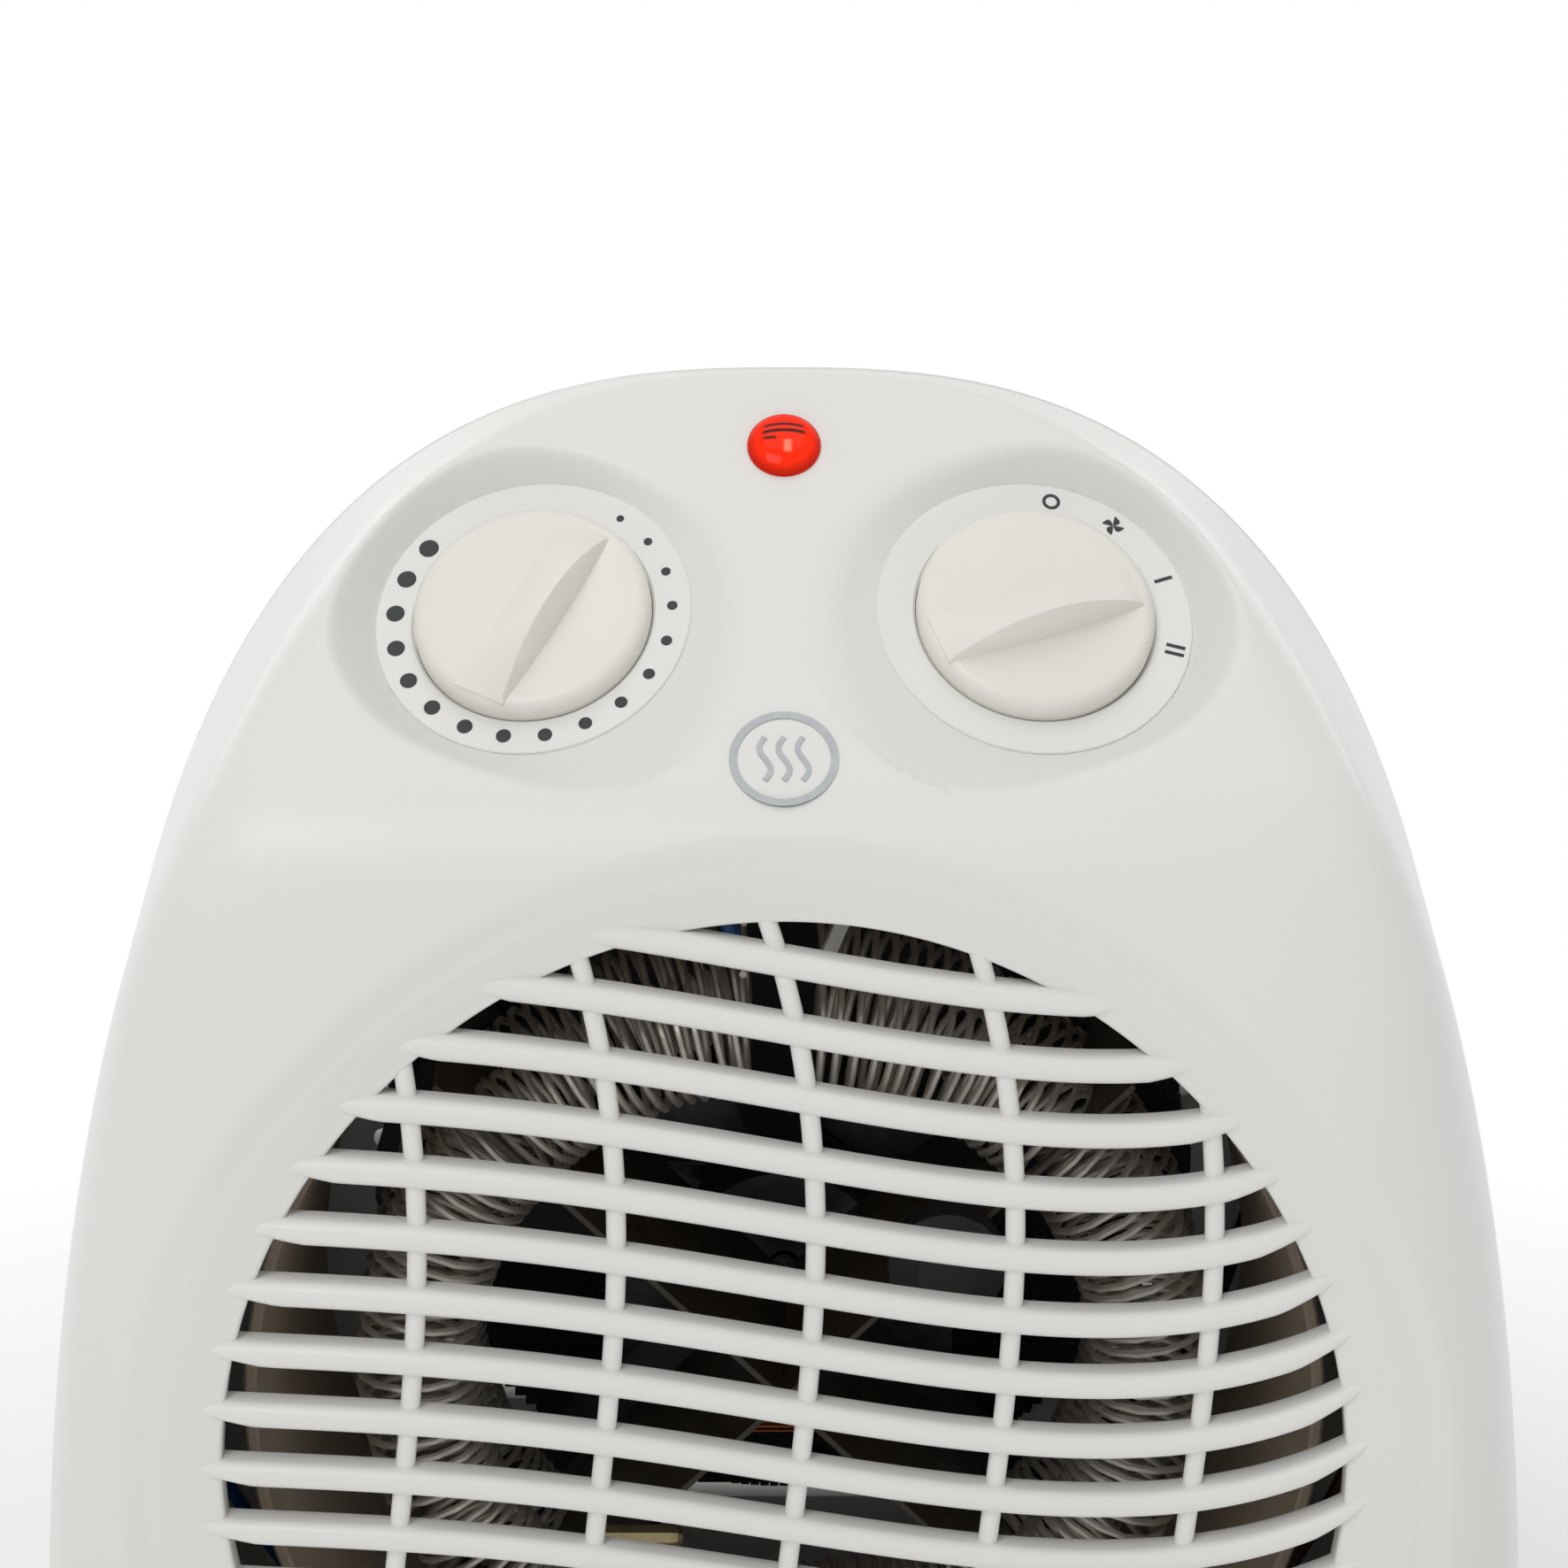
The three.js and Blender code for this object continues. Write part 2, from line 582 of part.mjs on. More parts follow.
// ---------------------------------------------------------------- knobs and lamp
/** A round knob with a wedge-shaped finger ridge, pointing along +Y of its own frame. */
function knobGeometry() {
  const under = -knobWellDepth + fitGap;
  const bore = spindleRadius + fitGap;
  const edge = knobRadius - 0.3;
  const round = 2.1;
  const dome = 0.3;
  const socketTop = knobRim - 1;
  const disc = solid(turned([[0, under], [edge - 0.7, under], [edge, 0.4], [edge, knobRim - round / 2],
    [edge - round * 0.4, knobRim - round * 0.15], [edge - round, knobRim], [0, knobRim + dome]], 36));
  const reach = knobRadius - 1.4;
  const crown = (reach ** 2 + ridgeHeight ** 2) / (2 * ridgeHeight);
  const arch = solid(new THREE.CylinderGeometry(crown, crown, knobRadius, 72).rotateZ(Math.PI / 2)
    .translate(0, 0, knobRim + ridgeHeight - crown));
  const section = [[-ridgeCrease, knobRim - dome], [ridgeFoot, knobRim - dome],
    [ridgeCrest, knobRim + ridgeHeight], [-ridgeCrease, knobRim + dome]];
  const shape = new THREE.Shape(section.map(([x, y]) => new THREE.Vector2(x, y)));
  const wedge = new THREE.ExtrudeGeometry(shape, { depth: reach * 2, bevelEnabled: false });
  const bar = solid(wedge.rotateX(Math.PI / 2).translate(0, reach, 0));
  const socket = solid(turned([[0, under - 1], [bore, under - 1], [bore, socketTop], [0, socketTop]], 16));
  return geometryOf(disc.add(bar.intersect(arch)).subtract(socket));
}

/** Puts a piece made in a dial's frame onto the panel, turned by an angle about the dial's axis. */
function placeOnPanel(mesh, frame, turn = 0) {
  mesh.applyMatrix4(new THREE.Matrix4().makeRotationZ(turn).premultiply(frame));
}

function spindleGeometry() {
  const top = knobRim - 1 - fitGap;
  return turned([[0, -spindleReach], [spindleRadius, -spindleReach], [spindleRadius, top], [0, top]], 12);
}

/** Regulator behind a dial: a round or square body with a bush round the spindle. */
function regulatorBody(isRound) {
  const top = -knobWellDepth - wall - fitGap;
  const bottom = top - (isRound ? thermostatHeight : switchHeight);
  const [r, side] = [13.5, 12];
  const blank = isRound
    ? turned([[0, bottom], [r, bottom], [r, top - 2], [r - 2.5, top], [0, top]], 24)
    : box(-side, side, -side, side, bottom, top);
  const bore = spindleRadius + fitGap;
  const low = -spindleReach - fitGap;
  const hole = turned([[0, low], [bore, low], [bore, 1], [0, 1]], 12);
  const cap = (isRound ? r : side) - 1.5;
  const profile = [[0, bottom - 1], [cap, bottom - 1], [cap, bottom + 1], [0, bottom + 1]];
  const end = turned(profile, isRound ? 24 : 4);
  return geometryOf(solid(blank).subtract(solid(hole)).add(solid(end)));
}

const pointAngle = (degrees) => THREE.MathUtils.degToRad(-degrees);

function neonLens() {
  const stem = neonRadius - lensLip;
  const seat = fitGap - lensSeat;
  return turned([[0, -lensStem], [stem, -lensStem], [stem, seat], [neonRadius, seat], [neonRadius, 0.7],
    [neonRadius - 0.7, 1.5], [neonRadius - 2.2, 2.1], [0, 2.4]], 20);
}

function neonLamp() {
  const top = -lensStem - fitGap;
  const r = 2.6;
  return turned([[0, top - 14], [r, top - 14], [r, top - 1.5], [r - 1, top], [0, top]], 12);
}

function badgeDisc() {
  const top = fitGap + badgeThickness;
  return turned([[0, fitGap], [badgeRadius, fitGap], [badgeRadius, top], [0, top]], 24);
}

function addControls() {
  const [left, right] = dialFrames;
  const knobColour = 0xe9e8e0;
  const steel = 0xb9bbbd;
  placeOnPanel(addNode('thermostat_knob', knobGeometry(), knobColour, 0.4), left, pointAngle(thermostatRest));
  placeOnPanel(addNode('mode_knob', knobGeometry(), knobColour, 0.4), right, pointAngle(modeRest));
  placeOnPanel(addNode('thermostat_spindle', spindleGeometry(), steel, 0.35, 0.9), left);
  placeOnPanel(addNode('switch_spindle', spindleGeometry(), steel, 0.35, 0.9), right);
  placeOnPanel(addNode('thermostat_body', regulatorBody(true), 0x8a6a4a, 0.6), left);
  placeOnPanel(addNode('switch_body', regulatorBody(false), 0x2a2a2c, 0.5), right);
  placeOnPanel(addNode('neon_lens', neonLens(), 0xf03a14, 0.15), neonFrame);
  placeOnPanel(addNode('neon_lamp', neonLamp(), 0xd9c9b0, 0.2), neonFrame);
  placeOnPanel(addNode('badge', badgeDisc(), 0xa9adb0, 0.35, 0.8), badgeFrame);
}

// ---------------------------------------------------------------- heater
function outletDuct() {
  const length = ductRear - ductFront;
  const rim = ductThroat + ductWall + ductFlange;
  const flangeFront = length - 3;
  const outside = ductThroat + ductWall;
  const profile = [[ductRadius, 0], [ductRadius + ductWall, 0], [outside, flangeFront], [rim, flangeFront],
    [rim, length], [ductThroat, length], [ductRadius, 0]];
  let duct = solid(alongY(turned(profile, 40), 0, behind(ductFront), outletZ));
  const entry = leadRadius + 3 * fitGap;
  for (const side of [-entrySide, entrySide]) {
    const hole = turned([[0, 0], [entry, 0], [entry, 12], [0, 12]], 12);
    duct = duct.subtract(solid(hole.translate(side, behind(coilDepths[0]), outletZ + ductThroat)));
  }
  return geometryOf(duct);
}

/** One open coil of wire that runs round a ring, with a short gap at the top for its two ends. */
function coilGeometry(depth) {
  const gap = 0.09;
  const perTurn = 5;
  const steps = coilTurns * perTurn;
  const rings = [];
  for (let i = 0; i <= steps; i++) {
    const t = i / steps;
    const round = gap + (Math.PI * 2 - gap * 2) * t + Math.PI / 2;
    const twist = Math.PI * 2 * coilTurns * t;
    const r = coilRing + coilRadius * Math.cos(twist);
    const y = behind(depth) + coilRadius * Math.sin(twist);
    const out = new THREE.Vector3(Math.cos(round), 0, Math.sin(round));
    const turnOut = out.clone().multiplyScalar(Math.cos(twist)).add(new THREE.Vector3(0, Math.sin(twist), 0));
    const along = new THREE.Vector3(-Math.sin(round), 0, Math.cos(round));
    const middle = new THREE.Vector3(r * Math.cos(round), y, outletZ + r * Math.sin(round));
    rings.push([90, 210, 330].map((d) => {
      const a = THREE.MathUtils.degToRad(d);
      return middle.clone().addScaledVector(turnOut, wireRadius * Math.sin(a))
        .addScaledVector(along, wireRadius * Math.cos(a)).toArray();
    }));
  }
  return skin(rings);
}

/** One of the two crossed mica plates, slotted to half its depth so that they interlock. */
function micaPlate(slotAtFront, turn) {
  const y0 = behind(coilDepths[0]) - coilRadius - micaMargin;
  const y1 = behind(coilDepths[1]) + coilRadius + micaMargin;
  const clear = coilRadius + wireRadius + 2 * fitGap;
  const middle = (y0 + y1) / 2;
  let plate = solid(box(-micaReach, micaReach, y0, y1, -micaThickness / 2, micaThickness / 2));
  for (const side of [-1, 1]) {
    for (const depth of coilDepths) {
      const hole = turned([[0, -3], [clear, -3], [clear, 3], [0, 3]], 14);
      plate = plate.subtract(solid(hole.translate(side * coilRing, behind(depth), 0)));
    }
  }
  const half = micaThickness / 2 + fitGap;
  const [s0, s1] = slotAtFront ? [y0 - 1, middle + fitGap / 2] : [middle - fitGap / 2, y1 + 1];
  plate = plate.subtract(solid(box(-half, half, s0, s1, -2, 2)));
  return geometryOf(plate).rotateY(turn).translate(0, 0, outletZ);
}

function addHeater() {
  addNode('outlet_duct', outletDuct(), 0xa89c8e, 0.6);
  coilDepths.forEach((depth, i) => addNode(i ? 'heater_coil_rear' : 'heater_coil_front', coilGeometry(depth),
    0x8d8a86, 0.35, 0.9));
  addNode('mica_plate_a', micaPlate(true, Math.PI / 4), 0xb8a68a, 0.5);
  addNode('mica_plate_b', micaPlate(false, -Math.PI / 4), 0xb8a68a, 0.5);
  const plateFront = behind(coilDepths[0]) - coilRadius - micaMargin - fitGap;
  const [r, thick] = [8, 6];
  const cutout = turned([[0, 0], [r, 0], [r, thick - 2], [r / 2, thick], [0, thick]], 20);
  cutout.rotateX(Math.PI / 2).translate(22, plateFront, outletZ + 22);
  addNode('thermal_cutout', cutout, 0x3a3330, 0.5);
  const fuseRadius = 1.8;
  const fuse = new THREE.CapsuleGeometry(fuseRadius, 9, 3, 8).rotateZ(Math.PI / 2);
  addNode('thermal_fuse', fuse.translate(-20, plateFront - fuseRadius, outletZ - 20), 0xc8b27a, 0.4);
}

// ---------------------------------------------------------------- fan and motor
/** Hub with twisted blades, wider and flatter towards the tips. */
function impeller() {
  const y0 = behind(fanDepth) - fanWidth / 2;
  const stations = 4;
  const halfThick = 0.9;
  let body = solid(tubeY(shaftRadius + fitGap, hubRadius, y0, y0 + fanWidth, 0, outletZ, 28));
  for (let b = 0; b < fanBlades; b++) {
    const rings = [];
    for (let i = 0; i <= stations; i++) {
      const r = blend(hubRadius - 1.5, fanRadius, i / stations);
      const pitch = blend(bladePitch[0], bladePitch[1], i / stations);
      const chord = blend(bladeChord[0], bladeChord[1], i / stations);
      const dx = chord / 2 * Math.cos(pitch);
      const dy = Math.min(chord / 2 * Math.sin(pitch), fanWidth / 2);
      const corners = [[-dx, -dy - halfThick], [dx, dy - halfThick], [dx, dy + halfThick],
        [-dx, halfThick - dy]];
      rings.push(corners.map(([x, y]) => [x, behind(fanDepth) + y, r]));
    }
    body = body.add(solid(skin(rings).rotateY(Math.PI * 2 * b / fanBlades).translate(0, 0, outletZ)));
  }
  return geometryOf(body);
}

function bearingBracket(y) {
  const half = postSpacing / 2 + 5;
  const rear = y + bracketThickness;
  let plate = solid(box(-half, half, y, rear, outletZ - 8, outletZ + 8));
  plate = plate.subtract(solid(rod(bearingRadius + fitGap, y - 1, rear + 1, 0, outletZ, 20)));
  for (const side of [-1, 1]) {
    const x = side * postSpacing / 2;
    plate = plate.subtract(solid(rod(motorScrew + 2 * fitGap, y - 1, rear + 1, x, outletZ, 10)));
  }
  return geometryOf(plate);
}

/** Laminated frame with the rotor's bore, a window for the coil and two screw holes. */
function statorStack(front, rear) {
  const half = statorSize / 2;
  const coilHalf = 14;
  let stack = solid(box(-half, half, front, rear, outletZ - statorFoot, outletZ + 16));
  stack = stack.subtract(solid(rod(rotorRadius + rotorGap, front - 1, rear + 1, 0, outletZ, 32)));
  stack = stack.subtract(solid(box(-coilHalf, coilHalf, front - 1, rear + 1, outletZ - statorFoot + statorLeg,
    outletZ - 16)));
  for (const side of [-1, 1]) {
    const x = side * postSpacing / 2;
    stack = stack.subtract(solid(rod(motorScrew + 2 * fitGap, front - 1, rear + 1, x, outletZ, 10)));
  }
  return geometryOf(stack);
}

/** The coil round the stack's lower leg. */
function motorWinding(front, rear) {
  const half = 11;
  const bulge = 5;
  const low = outletZ - statorFoot;
  const winding = solid(box(-half, half, front - bulge, rear + bulge, low - windingDrop, outletZ - 16.6));
  const leg = box(-half - 1, half + 1, front - fitGap, rear + fitGap, low - fitGap, low + statorLeg + fitGap);
  return geometryOf(winding.subtract(solid(leg)));
}

function addMotor() {
  const middle = behind(statorDepth);
  const front = middle - statorThickness / 2;
  const rear = middle + statorThickness / 2;
  const frontBracket = middle - bracketOffset - bracketThickness;
  const rearBracket = middle + bracketOffset;
  const fanFront = behind(fanDepth) - fanWidth / 2;
  const steel = 0xc2c4c6;
  addNode('impeller', impeller(), 0x2b2b2d, 0.5);
  addNode('stator_stack', statorStack(front, rear), 0x7d7f83, 0.5, 0.8);
  addNode('motor_winding', motorWinding(front, rear), 0xb87333, 0.45, 0.4);
  addNode('rotor', tubeY(shaftRadius + fitGap, rotorRadius, front, rear, 0, outletZ, 28), 0x8a8c90, 0.4, 0.8);
  addNode('motor_shaft', rod(shaftRadius, fanFront - 2, rearBracket + 3, 0, outletZ), steel, 0.25, 1);
  [['front', frontBracket], ['rear', rearBracket]].forEach(([name, y]) => {
    const end = y + bracketThickness + 0.6;
    const bearing = tubeY(shaftRadius + 0.1, bearingRadius, y - 0.6, end, 0, outletZ, 16);
    addNode(`${name}_bracket`, bearingBracket(y), 0x9a9da1, 0.45, 0.8);
    addNode(`${name}_bearing`, bearing, 0xb08d57, 0.4, 0.7);
  });
  [-1, 1].forEach((side, i) => {
    const seat = frontBracket - fitGap;
    const length = rearY - wall - 3 - seat;
    const screw = turned([[0, -2], [2.6, -2], [2.6, 0], [motorScrew, 0], [motorScrew, length],
      [0, length]], 10);
    addNode(`motor_screw_${i + 1}`, alongY(screw, side * postSpacing / 2, seat, outletZ), steel, 0.3, 0.9);
  });
}

// ---------------------------------------------------------------- inner wires
const blockMiddle = [blockSide, behind(blockDepth), baseZ + wall + fitGap + blockSize[2] / 2];

/** A point beside the outlet duct: clockwise degrees from its top seen from the front, radius, depth. */
function besideDuct(degrees, radius, depth) {
  const a = THREE.MathUtils.degToRad(degrees);
  return [radius * Math.sin(a), behind(depth), outletZ + radius * Math.cos(a)];
}

const onPanel = (frame, x, y, z) => new THREE.Vector3(x, y, z).applyMatrix4(frame).toArray();

/** An insulated wire along a smooth curve through the given points. */
function lead(points, steps = 20) {
  const curve = new THREE.CatmullRomCurve3(points.map((p) => new THREE.Vector3(...p)), false, 'centripetal');
  const frames = curve.computeFrenetFrames(steps);
  const rings = [];
  for (let i = 0; i <= steps; i++) {
    const middle = curve.getPointAt(i / steps);
    rings.push([0, 60, 120, 180, 240, 300].map((d) => {
      const a = THREE.MathUtils.degToRad(d);
      return middle.clone().addScaledVector(frames.normals[i], leadRadius * Math.cos(a))
        .addScaledVector(frames.binormals[i], leadRadius * Math.sin(a)).toArray();
    }));
  }
  return skin(rings);
}

function addLeads() {
  const [left, right] = dialFrames;
  const [bx, by, bz] = blockMiddle;
  const top = bz + blockSize[2] / 2 + fitGap;
  const deep = -knobWellDepth - wall - fitGap;
  const under = deep - switchHeight - 1 - fitGap;
  const underLeft = deep - thermostatHeight - 1 - fitGap;
  const entry = (side, rise) => [side, behind(coilDepths[0]), outletZ + rise];
  const coilEnd = entry(5.4, coilRing + coilRadius + wireRadius + leadRadius);
  const foot = outletZ - statorFoot - windingDrop;
  const motor = (side, drop) => [side, behind(statorDepth), foot - drop];
  const routes = {
    lead_line: [[bx + 9, by, top], [bx + 9, by, top + 5], besideDuct(205, 84, 84), besideDuct(150, 84, 60),
      besideDuct(90, 84, 44), besideDuct(45, 84, 44), onPanel(right, 4, -4, under - 7),
      onPanel(right, 4, -4, under)],
    lead_neutral: [[bx - 9, by, top], [bx - 9, by, top + 6], besideDuct(236, 86, 66), besideDuct(270, 84, 44),
      besideDuct(310, 84, 38), besideDuct(335, 84, 38), entry(-entrySide, 80), entry(-entrySide, 70),
      [-coilEnd[0], coilEnd[1], coilEnd[2]]],
    lead_mode: [onPanel(right, -6, 2, under), onPanel(right, -6, 2, under - 5),
      onPanel(left, 6, 2, underLeft - 5), onPanel(left, 6, 2, underLeft)],
    lead_heater: [onPanel(left, 0, -4, underLeft), onPanel(left, 0, -4, underLeft - 5),
      [-8, behind(46), outletZ + 83], entry(entrySide, 80), entry(entrySide, 70), coilEnd],
    lead_motor: [onPanel(right, -4, 6, under), onPanel(right, -4, 6, under - 6), besideDuct(20, 84, 72),
      besideDuct(45, 81, 80), besideDuct(64, 76, 86), besideDuct(80, 71, 90), besideDuct(120, 66, 100),
      motor(20, 16), motor(4, 8),
      motor(4, 2 * fitGap)],
  };
  const colours = [0x8a4a2a, 0x2c5fa8, 0xb03028, 0xe4e2dc, 0x3a3a3c];
  Object.entries(routes).forEach(([name, points], i) => {
    addNode(name, lead(points, points.length * 3), colours[i], 0.5);
  });
}

// ---------------------------------------------------------------- casing fittings
function addFittings() {
  addNode('front_cover', frontCover(), 0xf1f0ec, 0.35);
  addNode('rear_cover', rearCover(), 0xf1f0ec, 0.4);
  bossPlaces.forEach(([x, h], i) => {
    const length = screwReach + screwSeat + fitGap;
    const screw = alongY(turned([[0, 0], [screwShank, 0], [screwShank, length], [screwHead, length],
      [screwHead, length + 2.2], [0, length + 2.8]], 10), x, splitY - screwReach, baseZ + h);
    addNode(`cover_screw_${i + 1}`, screw, 0xc2c4c6, 0.3, 0.9);
  });
  footPlaces.forEach(([x, depth], i) => {
    const top = footHeight + wall + 1.5;
    const foot = turned([[0, 0], [footRadius - 0.8, 0], [footRadius, 0.8], [footRadius, footHeight - fitGap],
      [plugRadius, footHeight - fitGap], [plugRadius, top], [0, top]], 16);
    addNode(`foot_${i + 1}`, foot.translate(x, behind(depth), 0), 0x3a3a3c, 0.9);
  });
  const inner = glandRadius - fitGap;
  const bore = 3.6;
  const collar = glandRadius + 2;
  const gland = turned([[bore, -5], [inner, -5], [inner, fitGap], [collar, fitGap],
    [collar, glandProud - 1.4], [collar - 1.2, glandProud], [bore, glandProud], [bore, -5]], 18);
  addNode('cord_gland', alongY(gland, glandSide, rearY, baseZ + glandHeight), 0xe6e5df, 0.5);
  const block = new THREE.BoxGeometry(...blockSize);
  addNode('terminal_block', block.translate(...blockMiddle), 0xd8d8d0, 0.5);
}

addFittings();
addControls();
addHeater();
addMotor();
addLeads();

export default group;
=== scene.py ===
# %% [markdown]
# A small upright fan heater, dressed for looks. The engineering model is the frame: it fixes every size and
# says what moves. Here each part that shows is built again as a fine surface, or kept and given a finish.

# %% Load the frame
import json
import math

import bpy
import numpy as np
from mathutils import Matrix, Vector


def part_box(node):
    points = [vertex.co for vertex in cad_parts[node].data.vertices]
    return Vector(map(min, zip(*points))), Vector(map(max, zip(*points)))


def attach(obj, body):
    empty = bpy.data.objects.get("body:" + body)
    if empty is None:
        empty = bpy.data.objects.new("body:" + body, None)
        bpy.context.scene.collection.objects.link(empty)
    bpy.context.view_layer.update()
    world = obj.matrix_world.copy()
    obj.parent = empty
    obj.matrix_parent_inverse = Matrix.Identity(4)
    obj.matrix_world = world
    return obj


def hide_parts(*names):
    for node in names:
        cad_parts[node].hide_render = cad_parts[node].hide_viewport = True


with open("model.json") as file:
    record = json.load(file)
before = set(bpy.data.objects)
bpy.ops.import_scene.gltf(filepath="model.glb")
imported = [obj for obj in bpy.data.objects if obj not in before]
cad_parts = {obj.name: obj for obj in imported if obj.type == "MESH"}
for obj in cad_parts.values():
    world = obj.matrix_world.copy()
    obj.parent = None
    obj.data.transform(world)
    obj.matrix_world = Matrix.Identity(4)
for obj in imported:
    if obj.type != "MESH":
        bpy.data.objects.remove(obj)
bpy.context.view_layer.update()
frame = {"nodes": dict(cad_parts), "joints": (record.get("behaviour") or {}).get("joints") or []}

# %% [markdown]
# Shapes below are worked out in millimetres, as arrays of points on a grid: rows run one way over the
# surface and columns the other. One helper turns such a grid into faces and one turns faces into a piece.
# A closed shape knows which way is out, because the volume its faces enclose must be positive.

# %% From grids to pieces
MM = 0.001


def grid_quads(rows, cols, wrap_rows=False, wrap_cols=True):
    """Corner numbers of the four-sided faces between neighbouring rows and columns of a grid."""
    r = np.arange(rows if wrap_rows else rows - 1)[:, None]
    c = np.arange(cols if wrap_cols else cols - 1)[None, :]
    next_r, next_c = (r + 1) % rows, (c + 1) % cols
    corners = [r * cols + c, r * cols + next_c, next_r * cols + next_c, next_r * cols + c]
    return np.stack(np.broadcast_arrays(*corners), axis=-1).reshape(-1, 4)


def grid_of(x, y, z):
    """A grid of points from its x, y and z, each spread over all the rows and columns."""
    return np.stack(np.broadcast_arrays(x, y, z), axis=-1)


def volume_of(points, faces):
    """Sum over the faces, cut into triangles, of a . (b x c) / 6: positive when they all point outwards."""
    total = 0.0
    for face in faces:
        face = np.atleast_2d(face)
        a = points[face[:, 0]]
        for k in range(1, face.shape[1] - 1):
            total += np.einsum("ij,ij->", a, np.cross(points[face[:, k]], points[face[:, k + 1]]))
    return total / 6


def closed(points, faces):
    """A closed shape, (points, faces), with its faces turned outwards."""
    faces = [np.atleast_2d(f) for f in faces]
    middle = points.mean(axis=0)
    if volume_of(points - middle, faces) < 0:
        faces = [f[:, ::-1] for f in faces]
    return points, faces


def skin(grid, wrap_rows=False):
    """A tube or shell through the rows of a grid; rows that don't join are capped with one flat face each."""
    rows, cols = grid.shape[:2]
    faces = [grid_quads(rows, cols, wrap_rows)]
    if not wrap_rows:
        faces += [np.arange(cols)[None, ::-1], (rows - 1) * cols + np.arange(cols)[None, :]]
    return closed(grid.reshape(-1, 3), faces)


def even_turn(count):
    """Even steps round a circle, as angles."""
    return np.arange(count) * 2 * np.pi / count


def swept(profile, sides):
    """The grid that a profile of (radius, height) points leaves as it sweeps a circle about +Z."""
    radius, height = np.array(profile, float).T[:, :, None]
    a = even_turn(sides)
    return grid_of(radius * np.cos(a), radius * np.sin(a), height)


def turned(profile, sides=96):
    """A turned shape, solid to its axis. A radius of 0 becomes a micrometre, so that no face is empty."""
    return skin(swept([(max(radius, 1e-3), height) for radius, height in profile], sides))


def hollow(profile, sides=96):
    """A turned ring, whose profile is closed."""
    return skin(swept(profile, sides), wrap_rows=True)


def placed(shape, matrix):
    """The shape moved by a 4 x 4 matrix, in millimetres."""
    points, faces = shape
    m = np.array(matrix, float)
    return points @ m[:3, :3].T + m[:3, 3], faces


def new_mesh(name, shapes):
    """One mesh from several shapes, in metres, filled in whole arrays."""
    points = np.concatenate([p for p, _ in shapes]) * MM
    loops, totals, start = [], [], 0
    for p, faces in shapes:
        for face in faces:
            loops.append((face + start).ravel())
            totals.append(np.full(len(face), face.shape[1]))
        start += len(p)
    loops, totals = np.concatenate(loops), np.concatenate(totals)
    mesh = bpy.data.meshes.new(name)
    mesh.vertices.add(len(points))
    mesh.vertices.foreach_set("co", points.astype(np.float32).ravel())
    mesh.loops.add(len(loops))
    mesh.loops.foreach_set("vertex_index", loops.astype(np.int32))
    mesh.polygons.add(len(totals))
    mesh.polygons.foreach_set("loop_start", (np.cumsum(totals) - totals).astype(np.int32))
    mesh.polygons.foreach_set("loop_total", totals.astype(np.int32))
    mesh.update(calc_edges=True)
    mesh.validate()
    return mesh


def add_piece(name, shapes, finish, body="casing", stands_for=(), crease=35):
    """A piece of the object: its mesh, its finish, what it rides on and the nodes that it stands for."""
    mesh = new_mesh(name, shapes)
    mesh.shade_smooth()
    mesh.set_sharp_from_angle(angle=math.radians(crease))
    mesh.materials.append(finish)
    piece = bpy.data.objects.new(name, mesh)
    bpy.context.scene.collection.objects.link(piece)
    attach(piece, body)
    if stands_for:
        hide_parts(*stands_for)
    triangles = sum(len(p.vertices) - 2 for p in mesh.polygons)
    print(f"{name}: {triangles} triangles")
    return piece


# %% [markdown]
# A finish is a set of shader nodes. Writing a + b is easier to read than wiring an Add node, so a small class
# wraps a socket: each operator on it adds the Math node that does the sum. Every other node comes from one
# method, which takes the node's type, its settings and what goes into its sockets.

# %% Shader sums as Python
class Field:
    """A value that changes over a surface: the output of a node, open to Python's operators."""

    def __init__(self, finish, socket):
        self.finish, self.socket = finish, socket

    def sum(self, operation, *values):
        return self.finish.maths(operation, *values)

    def __add__(self, other):
        return self.sum("ADD", self, other)

    def __radd__(self, other):
        return self.sum("ADD", other, self)

    def __sub__(self, other):
        return self.sum("SUBTRACT", self, other)

    def __rsub__(self, other):
        return self.sum("SUBTRACT", other, self)

    def __mul__(self, other):
        return self.sum("MULTIPLY", self, other)

    def __rmul__(self, other):
        return self.sum("MULTIPLY", other, self)


